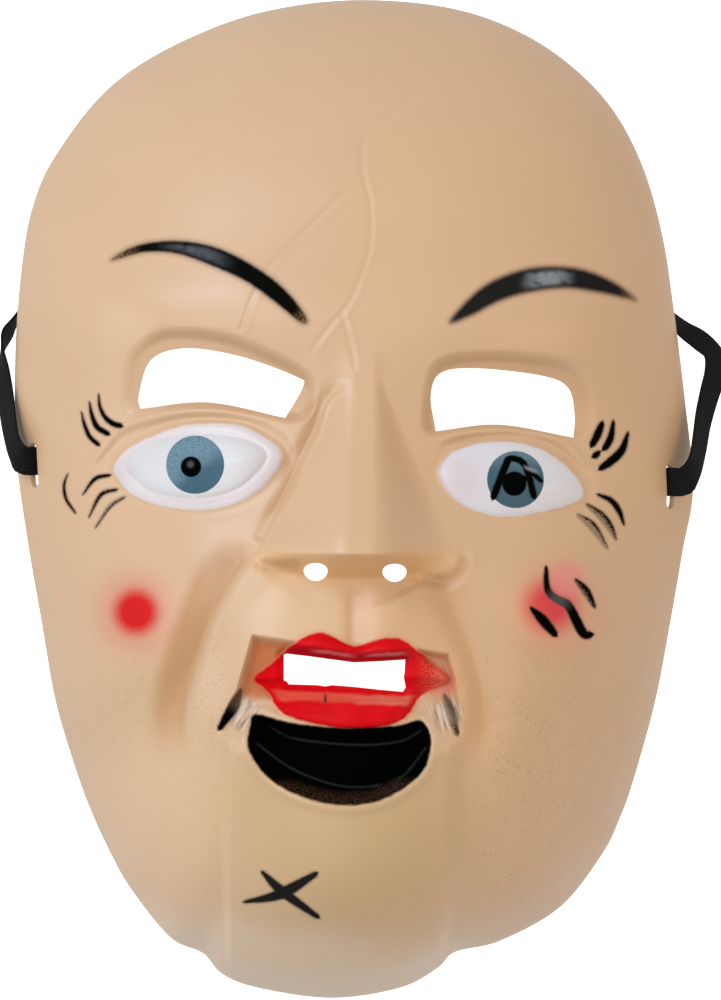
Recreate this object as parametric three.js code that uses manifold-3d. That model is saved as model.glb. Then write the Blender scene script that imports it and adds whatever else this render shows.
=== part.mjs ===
// Doll face mask: one thin moulded plastic shell with a doll's face, and the elastic strap that holds it on.
// The mask lies on its rim with the face up. Millimetres, +X to the right of the face as seen, +Y to the
// forehead, +Z out of the face. The origin is under the middle of the shell, on the plane of its rim.
import * as THREE from "three";
import { mergeVertices } from "three/addons/utils/BufferGeometryUtils.js";
import Module from "manifold-3d";

const wasm = await Module();
wasm.setup();

// Driving sizes of the shell
const WALL = 1.4;
const DOME_HEIGHT = 66;
const HALF_WIDTH = 83;
const HALF_HEIGHT = 122.5;

// The rim seen from the front, anticlockwise from the right ear. The chin block juts out at the bottom.
const RIM_OUTLINE = [
  [83, 2.9], [81, 24.3], [78.3, 46.4], [75.4, 65.5], [70.2, 83.2], [61.9, 98], [49.1, 110.2], [34.4, 118.1],
  [18.7, 121.5], [-0.5, 122.5], [-18.2, 120.5], [-33.6, 116.1], [-50.8, 107.8], [-63.1, 98], [-73.9, 83.2],
  [-78.6, 72.2], [-81, 59.9], [-82.7, 40.3], [-83, 19.4], [-82.2, 5.9], [-79.3, -14], [-76.6, -29.7],
  [-73.2, -49.3], [-68.2, -66.5], [-61.9, -84.2], [-55.5, -94.8], [-45.2, -107.8], [-37.1, -111.5],
  [-32.4, -116.6], [-23.6, -120], [-5.6, -122.5], [11.3, -120], [20.6, -115.1], [24.8, -111.2],
  [35.8, -108.5], [50.6, -100.4], [62.1, -86.7], [69, -70.2], [73.9, -49.3], [77.6, -29.7], [80.5, -12.5],
];

// The same rim with the jaw run through under the chin block: it shapes the dome away from the edge
const JAW_OUTLINE = [
  ...RIM_OUTLINE.slice(0, 26),
  [-43.2, -107.8], [-23.6, -116.9], [-2.2, -119.3], [18.7, -116.6], [37.1, -110.2], [51.8, -100.4],
  ...RIM_OUTLINE.slice(36),
];

// Round the rim, by the angle from the right ear in degrees: how high the rim stands off the table, how
// square the dome is and how upright its wall is. It rests on the forehead and the jaw and arches between.
const RIM_LIFT = [
  [0, 13], [30, 11], [58, 0], [122, 0], [150, 11], [180, 13], [212, 7], [235, 0], [305, 0], [328, 7],
];
const DOME_POWER = [
  [0, 2.4], [90, 2.4], [180, 2.4], [225, 3], [250, 5], [268, 7], [290, 5], [318, 3.2],
];
const WALL_ROUND = [
  [0, 1.1], [45, 1.45], [90, 1.65], [135, 1.45], [180, 1.1], [225, 1.4], [268, 1.5], [318, 1.4],
];

// Soft swellings and hollows of the face: height, centre x and y, reach along x and y
const MOUNDS = {
  muzzle: { high: 9, x: -2, y: -52, wide: 36, tall: 36 },
  chin: { high: 6, x: -3, y: -97, wide: 24, tall: 15 },
  leftBrow: { high: 3, x: -30, y: 47, wide: 22, tall: 9 },
  rightBrow: { high: 3, x: 33, y: 43, wide: 22, tall: 9 },
  leftEyeHollow: { high: -5, x: -34, y: 18, wide: 24, tall: 15 },
  rightEyeHollow: { high: -5, x: 37, y: 14, wide: 24, tall: 15 },
  leftCheek: { high: 3, x: -48, y: -22, wide: 17, tall: 18 },
  rightCheek: { high: 3, x: 50, y: -24, wide: 17, tall: 18 },
};

// Nose: a wedge from its root between the eyes to a blunt tip, with a flat front and a steep underside
const NOSE = {
  rootY: 29, tipY: -13, underY: -17.2, height: 18.5, rootHeight: 1,
  footHalf: 24, rootHalf: 5.5, flatHalf: 3.6, flatTipHalf: 6.2, ridgeX: 1.5, ridgeTipX: 0.3,
  rootEase: 6, underEase: 3.8, hump: 0.12, flare: 0.45,
};

// The eye cut-outs sit in shallow sockets, above the painted eyes, which bulge inside a fine groove
const SOCKET = { depth: 3.2, ease: 2.4 };
const EYEBALL = { bulge: 3.6, slopeWidth: 9, grooveDepth: 0.8, grooveWidth: 2 };
const SOCKETS = [
  [
    [-53.7, 19.5], [-54.5, 28.7], [-52.5, 35.4], [-45.5, 39.8], [-32.3, 39], [-22.2, 35.4], [-13, 30.6],
    [-10.1, 25.8], [-13, 19], [-22.2, 19.5], [-33.5, 20.5], [-44.3, 21],
  ],
  [
    [17.8, 16.6], [18.3, 27.5], [21.7, 33], [32.8, 34.5], [44.8, 33.5], [53.3, 31.1], [56.4, 23.9],
    [54.9, 15.2], [44.8, 14.2], [35.2, 16.6], [25.5, 17.1],
  ],
];
const EYEBALLS = [
  [
    [-55.3, 8.7], [-51.6, 3.6], [-37.1, 0.2], [-27.5, 2.9], [-21.2, 9.9], [-25.1, 14], [-34.7, 15.7],
    [-45.1, 14.9],
  ],
  [
    [23.6, 6], [26, 1.7], [32.8, -1.7], [40, -2.2], [52.1, 1.4], [48.7, 7], [43.9, 9.9], [36.4, 11.1],
    [28, 10.1],
  ],
];

// Creases on both sides of the muzzle, from the wings of the nose down; the muzzle stands proud of the cheeks
const CREASE = { step: 2.6, ease: 2.6, reach: 16, grooveDepth: 0.8, grooveAt: -2, grooveWidth: 2.6 };
const CREASES = [
  {
    inner: 1,
    line: [
      [-22.2, -11.8], [-27.5, -20], [-32.5, -28], [-35.7, -36.4], [-38.1, -46], [-39.5, -56.9],
      [-38.1, -67.7],
    ],
  },
  {
    inner: -1,
    line: [[23.6, -20.7], [27, -29.2], [30.4, -38.8], [32.1, -48.4], [32.8, -59.3], [31.3, -70.1]],
  },
];

// Mouth: a sunk frame with full lips in it, and the open mouth of a speaking dummy below them
const FRAME = { depth: 2.6, ease: 2.2, bottomY: -57, bottomEase: 4 };
const LIP = {
  height: 3.4, slopeWidth: 5, slotDip: 1.6, slotEdge: 1.2, shelfTopY: -43, shelfY: -48.6, shelfDip: 1.2,
};
const OPEN = { depth: 5.5, edge: 1.9, ease: 2.6, lipHeight: 0.6, lipAt: -1.4, lipWidth: 2 };
const STEP_EASE = 1.8;
const MOUTH_FRAME = [
  [-24.6, -34], [-13, -34], [1, -35.9], [11.1, -35.4], [22.4, -36.9], [23.9, -46], [25.5, -55.9],
  [15.9, -62.9], [-2.2, -66.5], [-20.2, -62.9], [-32.3, -55.9], [-28, -44.8],
];
const LIPS = [
  [-24, -43.4], [-13.7, -34.4], [-9, -32.3], [-2.9, -34.6], [0, -35.5], [2.9, -35.1], [8.7, -33.6],
  [14.9, -35.9], [22.9, -43.9], [16.1, -47.2], [12.3, -53], [5.1, -55.7], [-4.3, -55.4], [-16.6, -52.1],
  [-20.7, -46.5],
];
const OPEN_MOUTH = [
  [-23.6, -52.1], [-15.7, -54.5], [-3.4, -55.9], [10.1, -55.2], [16.1, -53.7], [18.7, -58.3], [16.1, -66.3],
  [6.3, -72.8], [-6.2, -73.5], [-18.6, -68.9], [-25.2, -61.1], [-25, -54.2],
];

// The chin block, raised between two upright steps like the moving jaw of a ventriloquist's dummy
const CHIN_BLOCK = {
  height: 2.6, leftX: -30.6, rightX: 22, topY: -57, topEase: 5, flare: 2.4, sideEase: 1.6,
};

// The groove between nose and mouth
const LIP_GROOVE = {
  depth: 1.2, leftX: -1.9, rightX: 3.6, topY: -21.5, bottomY: -35, sideEase: 1.2, endEase: 2,
};

// Cut-outs. Each outline is straight or a smooth curve from corner to corner.
const EYE_HOLES = [
  {
    corner: [-51.8, 21.9],
    lower: [[-35.2, 23.4], [-16.6, 19.6]],
    upper: [
      [-12.3, 27.2], [-14, 29.6], [-27.5, 34.5], [-40.7, 36.5], [-49.2, 33.7], [-52.2, 25.1], [-51.8, 21.9],
    ],
  },
  {
    corner: [19.8, 16.4],
    lower: [[35.2, 18], [53.3, 14.9]],
    upper: [[53.6, 20.2], [52.1, 26.8], [46, 29.8], [30.4, 31.6], [21.2, 30.6], [18.6, 25.1], [19.8, 16.4]],
  },
];
const MOUTH_SLOT = [
  [-16.8, -37.2], [0, -39.3], [12.2, -38.7], [12.2, -46.1], [3.3, -45.7], [-3.4, -44.9], [-16.4, -44.5],
];
const NOSTRIL = { halfWidth: 3, halfHeight: 2.2, centres: [[-9.2, -17.6], [9.8, -17.8]] };
const STRAP_SLOT = { length: 11, width: 3.4, places: [[-78.2, 8.2], [77.3, 3]] };

// Elastic strap: a flat woven band. Its ends come out through the slots, run over the edge and lie under it
const STRAP = { width: 7, thick: 0.9, steps: 56 };

// Each line is a place on the band's middle line, then the way that its width points there
const STRAP_ROUTE = [
  [-73.3, 9.1, 17, 0, 1, 0],
  [-77.5, 9.3, 19.6, 0, 1, 0],
  [-80.9, 9.6, 21.5, 0.05, 1, 0.1],
  [-83.1, 13, 19.4, 0.3, 0.8, 0.5],
  [-84.3, 18.5, 15.6, 0.45, 0.59, 0.66],
  [-85.2, 24.5, 11.6, 0.5, 0.5, 0.7],
  [-86.1, 30.5, 8, 0.45, 0.3, 0.84],
  [-86.3, 36, 5.2, 0.05, 0.05, 1],
  [-84.8, 41, 4.1, -0.5, -0.35, 0.78],
  [-81.7, 46, 4, -0.3, -0.25, 0.92],
  [-77.6, 52.5, 3.9, 0, 0, 1],
  [-72.5, 61, 3.9, 0, 0, 1],
  [-65.5, 70.5, 3.9, 0, 0, 1],
  [-57, 79.5, 3.9, 0, 0, 1],
  [-47, 87.5, 3.9, 0, 0, 1],
  [-36, 93.8, 3.9, 0, 0, 1],
  [-24.5, 98, 3.9, 0, 0, 1],
  [-12.5, 100.6, 3.9, 0, 0, 1],
  [0, 101.4, 3.9, 0, 0, 1],
  [12.5, 100.4, 3.9, 0, 0, 1],
  [25, 97.4, 3.9, 0, 0, 1],
  [37.5, 92, 3.9, 0, 0, 1],
  [48.5, 84.2, 3.9, 0, 0, 1],
  [58, 75, 3.9, 0, 0, 1],
  [65.5, 65.5, 3.9, 0, 0, 1],
  [71, 56, 3.9, 0, 0, 1],
  [75.4, 47.8, 3.9, -0.1, -0.1, 1],
  [80.2, 42.2, 4, -0.35, -0.4, 0.85],
  [85, 38.8, 4.2, -0.46, -0.53, 0.71],
  [88.4, 35.2, 5.2, -0.75, 0, 0.65],
  [88.4, 30.6, 7.4, -0.7, 0.25, 0.67],
  [86.9, 25.3, 10.6, -0.6, 0.4, 0.69],
  [85.4, 19.3, 14.1, -0.5, 0.55, 0.66],
  [84.4, 13.3, 18.1, -0.45, 0.59, 0.66],
  [83.1, 7.8, 22.2, -0.3, 0.85, 0.45],
  [80.6, 4.4, 24.2, -0.05, 1, 0.1],
  [77, 4.2, 22.1, 0, 1, 0],
  [73, 4.1, 19.5, 0, 1, 0],
];

// Lines of the mesh across the shell, as shares of its half width and half height: from, to, how many
const COLUMN_BANDS = [
  [-1, -0.985, 1], [-0.985, -0.95, 1], [-0.95, -0.72, 3], [-0.72, 0.72, 32], [0.72, 0.95, 3],
  [0.95, 0.985, 1], [0.985, 1, 1],
];
const ROW_BANDS = [
  [-1, -0.985, 1], [-0.985, -0.95, 1], [-0.95, -0.62, 4], [-0.62, -0.172, 14], [-0.172, -0.108, 3],
  [-0.108, 0.36, 13], [0.36, 0.95, 8], [0.95, 0.985, 1], [0.985, 1, 1],
];

// Eases from 0 to 1 as value goes from -width to +width
function rise(value, width) {
  return THREE.MathUtils.smoothstep(value, -width, width);
}

// 1 at a place, falling off smoothly on both sides of it
function hump(away, width) {
  return Math.exp(-((away / width) ** 2));
}

// Rises from an edge into a round swelling that is flat from slopeWidth inwards
function bulgeInside(deep, slopeWidth) {
  return 1 - THREE.MathUtils.clamp(1 - deep / slopeWidth, 0, 1) ** 2;
}

// A smooth closed line through points, as points along it
function smoothRing(points, steps) {
  const curve = new THREE.CatmullRomCurve3(
    points.map(([x, y]) => new THREE.Vector3(x, y, 0)),
    true,
    "catmullrom",
    0.5,
  );
  return curve.getPoints(points.length * steps).slice(0, -1);
}

// A smooth open line through points, as points along it
function smoothLine(points, steps) {
  const curve = new THREE.SplineCurve(points.map(([x, y]) => new THREE.Vector2(x, y)));
  return curve.getPoints((points.length - 1) * steps);
}

// The nearest place on the stretch from a to b: how far away it is, and its share of the stretch
function nearest(x, y, a, b) {
  const dx = b.x - a.x;
  const dy = b.y - a.y;
  const share = THREE.MathUtils.clamp(((x - a.x) * dx + (y - a.y) * dy) / (dx * dx + dy * dy), 0, 1);
  return { away: Math.hypot(x - a.x - share * dx, y - a.y - share * dy), share };
}

// How deep a place lies inside a ring, below 0 outside it
function depthInside(x, y, ring) {
  let away = Infinity;
  let inside = false;
  for (let i = 0; i < ring.length; i += 1) {
    const a = ring[i];
    const b = ring[(i + 1) % ring.length];
    away = Math.min(away, nearest(x, y, a, b).away);
    const crosses = a.y > y !== b.y > y;
    if (crosses && x < ((b.x - a.x) * (y - a.y)) / (b.y - a.y) + a.x) {
      inside = !inside;
    }
  }
  return inside ? away : -away;
}

// How far a place lies to the left of a line, seen along it, and its share of the line's length
function besideLine(x, y, line) {
  let best = { away: Infinity, left: 0, share: 0 };
  for (let i = 0; i < line.length - 1; i += 1) {
    const a = line[i];
    const b = line[i + 1];
    const here = nearest(x, y, a, b);
    if (here.away < best.away) {
      const turn = (b.x - a.x) * (y - a.y) - (b.y - a.y) * (x - a.x);
      const share = (i + here.share) / (line.length - 1);
      best = { away: here.away, left: Math.sign(turn) * here.away, share };
    }
  }
  return best;
}

// A value at an angle, eased between the angles of a table
function around(angle, table) {
  const next = table.findIndex(([at]) => at > angle);
  const [toAngle, toValue] = next < 0 ? [table[0][0] + 360, table[0][1]] : table[next];
  const [fromAngle, fromValue] = next < 0 ? table[table.length - 1] : table[next - 1];
  return fromValue + (toValue - fromValue) * THREE.MathUtils.smoothstep(angle, fromAngle, toAngle);
}

// The outlines as distance from the middle at each angle
function byAngle(points) {
  const ring = smoothRing(points, 12).map((point) => ({
    angle: THREE.MathUtils.euclideanModulo(Math.atan2(point.y, point.x) * THREE.MathUtils.RAD2DEG, 360),
    far: Math.hypot(point.x, point.y),
  }));
  ring.sort((a, b) => a.angle - b.angle);
  return ring;
}

function distanceAt(angle, ring) {
  const next = ring.findIndex((item) => item.angle > angle);
  const to = next < 0 ? { angle: ring[0].angle + 360, far: ring[0].far } : ring[next];
  const last = ring[ring.length - 1];
  const from = next > 0 ? ring[next - 1] : next === 0 ? { angle: last.angle - 360, far: last.far } : last;
  return from.far + ((to.far - from.far) * (angle - from.angle)) / (to.angle - from.angle);
}

const rimRing = byAngle(RIM_OUTLINE);
const jawRing = byAngle(JAW_OUTLINE);
const socketRings = SOCKETS.map((points) => smoothRing(points, 4));
const eyeballRings = EYEBALLS.map((points) => smoothRing(points, 4));
const creaseLines = CREASES.map(({ inner, line }) => ({ inner, line: smoothLine(line, 4) }));
const frameRing = smoothRing(MOUTH_FRAME, 3);
const lipRing = smoothRing(LIPS, 3);
const openMouthRing = smoothRing(OPEN_MOUTH, 3);
const slotRing = MOUTH_SLOT.map(([x, y]) => new THREE.Vector2(x, y));

function angleOf(x, y) {
  return THREE.MathUtils.euclideanModulo(Math.atan2(y, x) * THREE.MathUtils.RAD2DEG, 360);
}

// The plain dome: high and even over the face, falling to the rim all round
function domeHeight(x, y) {
  const angle = angleOf(x, y);
  const far = Math.hypot(x, y);
  const rim = distanceAt(angle, rimRing);
  const inward = 1 - rise(far / rim - 0.93, 0.07);
  const reach = rim + (distanceAt(angle, jawRing) - rim) * inward;
  const share = Math.min(far / reach, 1);
  const lift = around(angle, RIM_LIFT);
  const swell = (1 - share ** around(angle, DOME_POWER)) ** (1 / around(angle, WALL_ROUND));
  return lift + (DOME_HEIGHT - lift) * swell;
}

function mound(x, y, { high, x: middleX, y: middleY, wide, tall }) {
  const u = (x - middleX) / wide;
  const v = (y - middleY) / tall;
  return high * Math.exp(-0.5 * (u * u + v * v));
}

function noseHeight(x, y) {
  const down = THREE.MathUtils.clamp((NOSE.rootY - y) / (NOSE.rootY - NOSE.tipY), 0, 1);
  const footHalf = NOSE.rootHalf + (NOSE.footHalf - NOSE.rootHalf) * down;
  const flatHalf = NOSE.flatHalf + (NOSE.flatTipHalf - NOSE.flatHalf) * down;
  const ridgeX = NOSE.ridgeX + (NOSE.ridgeTipX - NOSE.ridgeX) * down;
  const side = THREE.MathUtils.clamp((footHalf - Math.abs(x - ridgeX)) / (footHalf - flatHalf), 0, 1);
  const slope = (1 - NOSE.flare) * side + NOSE.flare * THREE.MathUtils.smoothstep(side, 0, 1);
  const ends = rise(y - NOSE.underY, NOSE.underEase) * rise(NOSE.rootY + 4 - y, NOSE.rootEase);
  const bridge = (1 + NOSE.hump) * down - NOSE.hump * down ** 6;
  return (NOSE.rootHeight + (NOSE.height - NOSE.rootHeight) * bridge) * slope * ends;
}

function eyeHeight(x, y) {
  let height = 0;
  for (const ring of socketRings) {
    height -= SOCKET.depth * rise(depthInside(x, y, ring), SOCKET.ease);
  }
  for (const ring of eyeballRings) {
    const deep = depthInside(x, y, ring);
    height += EYEBALL.bulge * bulgeInside(deep, EYEBALL.slopeWidth);
    height -= EYEBALL.grooveDepth * hump(deep, EYEBALL.grooveWidth);
  }
  return height;
}

function creaseHeight(x, y) {
  let height = 0;
  for (const { inner, line } of creaseLines) {
    const beside = besideLine(x, y, line);
    const inside = beside.left * inner;
    const fade = rise(beside.share - 0.04, 0.04) * rise(0.86 - beside.share, 0.14);
    const proud = CREASE.step * rise(inside, CREASE.ease) * hump(Math.max(inside, 0), CREASE.reach);
    height += fade * (proud - CREASE.grooveDepth * hump(inside - CREASE.grooveAt, CREASE.grooveWidth));
  }
  return height;
}

function mouthHeight(x, y) {
  const lips = depthInside(x, y, lipRing);
  const open = depthInside(x, y, openMouthRing);
  const aboveChin = rise(y - FRAME.bottomY, FRAME.bottomEase);
  const shelfRows = rise(y - LIP.shelfY, STEP_EASE) * rise(LIP.shelfTopY - y, STEP_EASE);
  let height = -FRAME.depth * rise(depthInside(x, y, frameRing), FRAME.ease) * aboveChin;
  height += LIP.height * bulgeInside(lips, LIP.slopeWidth);
  height -= LIP.slotDip * rise(depthInside(x, y, slotRing) + LIP.slotEdge, STEP_EASE);
  height -= LIP.shelfDip * shelfRows * rise(lips, STEP_EASE);
  height += OPEN.lipHeight * hump(open - OPEN.lipAt, OPEN.lipWidth);
  height -= OPEN.depth * rise(open - OPEN.edge, OPEN.ease);
  return height;
}

function lipGrooveHeight(x, y) {
  const { depth, leftX, rightX, topY, bottomY, sideEase, endEase } = LIP_GROOVE;
  const across = rise(x - leftX, sideEase) * rise(rightX - x, sideEase);
  const down = rise(topY - y, endEase) * rise(y - bottomY, endEase);
  return -depth * across * down;
}

function chinBlockHeight(x, y) {
  const upper = rise(y + 100, 10);
  const left = rise(x - CHIN_BLOCK.leftX, CHIN_BLOCK.sideEase);
  const right = rise(CHIN_BLOCK.rightX + CHIN_BLOCK.flare * upper - x, CHIN_BLOCK.sideEase * (1 + upper));
  return CHIN_BLOCK.height * left * right * rise(CHIN_BLOCK.topY - y, CHIN_BLOCK.topEase);
}

// Height of the outer surface above the table
function faceHeight(x, y) {
  const share = Math.hypot(x, y) / distanceAt(angleOf(x, y), rimRing);
  let height = noseHeight(x, y) + eyeHeight(x, y) + creaseHeight(x, y);
  height += mouthHeight(x, y) + lipGrooveHeight(x, y) + chinBlockHeight(x, y);
  for (const part of Object.values(MOUNDS)) {
    height += mound(x, y, part);
  }
  return domeHeight(x, y) + height * rise(0.97 - share, 0.03);
}

// The direction straight out of the outer surface. On the rim it is level, so the edge is cut flat.
function faceNormal(x, y, onRim) {
  const reach = 1.5;
  if (onRim) {
    const share = (px, py) => Math.hypot(px, py) / distanceAt(angleOf(px, py), rimRing);
    const outX = share(x + reach, y) - share(x - reach, y);
    const outY = share(x, y + reach) - share(x, y - reach);
    return new THREE.Vector3(outX, outY, 0).normalize();
  }
  const acrossX = (faceHeight(x + reach, y) - faceHeight(x - reach, y)) / (2 * reach);
  const acrossY = (faceHeight(x, y + reach) - faceHeight(x, y - reach)) / (2 * reach);
  return new THREE.Vector3(-acrossX, -acrossY, 1).normalize();
}

// Places of the mesh lines, from -1 to 1
function spread(bands) {
  const places = [-1];
  for (const [from, to, count] of bands) {
    for (let i = 1; i <= count; i += 1) {
      places.push(from + ((to - from) * i) / count);
    }
  }
  return places;
}

// Carries a place on a square sheet onto the face seen from the front, with the sheet's edge on the rim
function onFace(across, up) {
  const edge = Math.max(Math.abs(across), Math.abs(up));
  if (edge < 1e-9) {
    return { x: 0, y: 0, share: 0 };
  }
  const roundX = across * Math.sqrt(1 - (up * up) / 2);
  const roundY = up * Math.sqrt(1 - (across * across) / 2);
  const even = THREE.MathUtils.smoothstep(edge, 0.5, 1);
  const share = THREE.MathUtils.lerp(Math.hypot(roundX, roundY), edge, even);
  const x = HALF_WIDTH * roundX;
  const y = HALF_HEIGHT * roundY;
  const stretch = (share * distanceAt(angleOf(x, y), rimRing)) / Math.hypot(x, y);
  return { x: x * stretch, y: y * stretch, share };
}

// Splits every cell of the slab along the diagonal that points to the middle, so that no cell folds flat
function splitTowardsMiddle(slab) {
  const place = slab.getAttribute("position");
  const corners = slab.getIndex().array;
  for (let i = 0; i < corners.length; i += 6) {
    const [a, b, d, , c] = corners.slice(i, i + 6);
    const middle = (place.getX(b) + place.getX(d)) * (place.getY(b) + place.getY(d));
    const slope = (place.getX(b) - place.getX(d)) * (place.getY(b) - place.getY(d));
    if (slope * middle < 0) {
      corners.set([a, b, c, a, c, d], i);
    }
  }
}

// A flat slab of mesh, bent so that its top is the outside of the face and its underside the inside
function bareShell() {
  const columns = spread(COLUMN_BANDS);
  const rows = spread(ROW_BANDS);
  const slab = new THREE.BoxGeometry(2, 2, 1, columns.length - 1, rows.length - 1, 1);
  splitTowardsMiddle(slab);
  const place = slab.getAttribute("position");
  for (let i = 0; i < place.count; i += 1) {
    const column = Math.round(((place.getX(i) + 1) / 2) * (columns.length - 1));
    const row = Math.round(((place.getY(i) + 1) / 2) * (rows.length - 1));
    const { x, y, share } = onFace(columns[column], rows[row]);
    const onRim = share > 0.9999;
    const outside = new THREE.Vector3(x, y, onRim ? around(angleOf(x, y), RIM_LIFT) : faceHeight(x, y));
    if (place.getZ(i) < 0) {
      outside.addScaledVector(faceNormal(x, y, onRim), -WALL);
    }
    place.setXYZ(i, outside.x, outside.y, outside.z);
  }
  return slab;
}

function toSolid(geometry) {
  const bare = geometry.clone();
  bare.deleteAttribute("normal");
  bare.deleteAttribute("uv");
  const merged = mergeVertices(bare, 1e-4);
  const mesh = new wasm.Mesh({
    numProp: 3,
    vertProperties: new Float32Array(merged.getAttribute("position").array),
    triVerts: new Uint32Array(merged.getIndex().array),
  });
  return new wasm.Manifold(mesh);
}

function toGeometry(solid) {
  const mesh = solid.getMesh();
  const geometry = new THREE.BufferGeometry();
  geometry.setAttribute("position", new THREE.BufferAttribute(new Float32Array(mesh.vertProperties), 3));
  geometry.setIndex(new THREE.BufferAttribute(new Uint32Array(mesh.triVerts), 1));
  geometry.computeVertexNormals();
  return geometry;
}

// An upright cutter with the given outline, from below the wall to above it
function uprightCutter(shape, curveSegments) {
  const cutter = new THREE.ExtrudeGeometry(shape, { depth: 100, bevelEnabled: false, curveSegments });
  cutter.translate(0, 0, 20);
  return cutter;
}

function eyeHoleCutter({ corner, lower, upper }) {
  const shape = new THREE.Shape();
  shape.moveTo(...corner);
  shape.splineThru(lower.map(([x, y]) => new THREE.Vector2(x, y)));
  shape.splineThru(upper.map(([x, y]) => new THREE.Vector2(x, y)));
  return uprightCutter(shape, 2);
}

function nostrilCutter([x, y]) {
  const shape = new THREE.Shape();
  shape.absellipse(x, y, NOSTRIL.halfWidth, NOSTRIL.halfHeight, 0, 2 * Math.PI);
  return uprightCutter(shape, 5);
}

// The strap's slots are cut square through the sloping wall
function strapSlotCutter([x, y]) {
  const cutter = new THREE.BoxGeometry(STRAP_SLOT.width, STRAP_SLOT.length, 12);
  const out = faceNormal(x, y, false).setY(0).normalize();
  const turn = new THREE.Quaternion().setFromUnitVectors(new THREE.Vector3(0, 0, 1), out);
  cutter.applyQuaternion(turn);
  cutter.translate(x, y, faceHeight(x, y));
  return cutter;
}

function shellGeometry() {
  const mouthSlot = new THREE.Shape(slotRing);
  const cutters = [
    ...EYE_HOLES.map(eyeHoleCutter),
    ...NOSTRIL.centres.map(nostrilCutter),
    uprightCutter(mouthSlot, 1),
    ...STRAP_SLOT.places.map(strapSlotCutter),
  ];
  let shell = toSolid(bareShell());
  for (const cutter of cutters) {
    shell = shell.subtract(toSolid(cutter));
  }
  return toGeometry(shell);
}

// The band's section is flat with its corners taken off. It is extruded straight, then laid on its route.
function strapGeometry() {
  const halfWide = STRAP.width / 2;
  const halfThick = STRAP.thick / 2;
  const corner = 0.25;
  const section = new THREE.Shape([
    new THREE.Vector2(halfWide, halfThick - corner),
    new THREE.Vector2(halfWide - corner, halfThick),
    new THREE.Vector2(corner - halfWide, halfThick),
    new THREE.Vector2(-halfWide, halfThick - corner),
    new THREE.Vector2(-halfWide, corner - halfThick),
    new THREE.Vector2(corner - halfWide, -halfThick),
    new THREE.Vector2(halfWide - corner, -halfThick),
    new THREE.Vector2(halfWide, corner - halfThick),
  ]);
  const band = new THREE.ExtrudeGeometry(section, { depth: 1, steps: STRAP.steps, bevelEnabled: false });
  const route = new THREE.CatmullRomCurve3(
    STRAP_ROUTE.map(([x, y, z]) => new THREE.Vector3(x, y, z)),
    false,
    "catmullrom",
    0.5,
  );
  const lean = new THREE.CatmullRomCurve3(
    STRAP_ROUTE.map(([, , , x, y, z]) => new THREE.Vector3(x, y, z)),
    false,
    "catmullrom",
    0.5,
  );
  const place = band.getAttribute("position");
  for (let i = 0; i < place.count; i += 1) {
    const t = route.getUtoTmapping(place.getZ(i));
    const along = route.getTangent(t);
    const wide = lean.getPoint(t);
    wide.addScaledVector(along, -wide.dot(along)).normalize();
    const thick = new THREE.Vector3().crossVectors(along, wide);
    const point = route.getPoint(t);
    point.addScaledVector(wide, place.getX(i));
    point.addScaledVector(thick, place.getY(i));
    place.setXYZ(i, point.x, point.y, point.z);
  }
  const merged = band.clone();
  merged.deleteAttribute("normal");
  merged.deleteAttribute("uv");
  const closed = mergeVertices(merged, 1e-4);
  closed.computeVertexNormals();
  return closed;
}

const fleshPlastic = new THREE.MeshStandardMaterial({ color: 0xdfbc9a, roughness: 0.42, metalness: 0 });
const blackElastic = new THREE.MeshStandardMaterial({ color: 0x101211, roughness: 0.85, metalness: 0 });

const shell = new THREE.Mesh(shellGeometry(), fleshPlastic);
shell.name = "mask_shell";

const strap = new THREE.Mesh(strapGeometry(), blackElastic);
strap.name = "elastic_strap";

const mask = new THREE.Group();
mask.name = "doll_face_mask";
mask.add(shell, strap);

export default mask;
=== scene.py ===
import bmesh
import bpy
import numpy as np
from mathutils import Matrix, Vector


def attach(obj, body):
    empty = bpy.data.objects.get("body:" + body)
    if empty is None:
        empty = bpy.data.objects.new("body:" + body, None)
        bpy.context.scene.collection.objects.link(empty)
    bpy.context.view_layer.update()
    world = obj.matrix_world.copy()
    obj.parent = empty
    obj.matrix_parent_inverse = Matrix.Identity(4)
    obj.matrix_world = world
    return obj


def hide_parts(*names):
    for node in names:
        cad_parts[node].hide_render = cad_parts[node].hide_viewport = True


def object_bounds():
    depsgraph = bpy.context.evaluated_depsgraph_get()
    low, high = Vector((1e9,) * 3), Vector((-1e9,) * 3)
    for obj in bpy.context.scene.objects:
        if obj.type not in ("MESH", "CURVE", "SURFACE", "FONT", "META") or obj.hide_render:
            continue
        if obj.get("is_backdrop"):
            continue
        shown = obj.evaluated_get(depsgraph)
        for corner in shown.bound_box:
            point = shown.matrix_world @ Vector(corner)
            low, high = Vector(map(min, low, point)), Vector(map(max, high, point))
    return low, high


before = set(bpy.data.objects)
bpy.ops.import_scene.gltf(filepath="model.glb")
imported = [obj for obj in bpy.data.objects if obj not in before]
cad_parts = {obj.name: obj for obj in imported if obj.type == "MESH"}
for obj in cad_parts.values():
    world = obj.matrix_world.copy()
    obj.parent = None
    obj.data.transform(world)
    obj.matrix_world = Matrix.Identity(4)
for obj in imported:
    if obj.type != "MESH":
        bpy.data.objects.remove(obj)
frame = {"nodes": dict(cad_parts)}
cad_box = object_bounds()
print("packed nodes:", ", ".join(frame["nodes"]))

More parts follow.
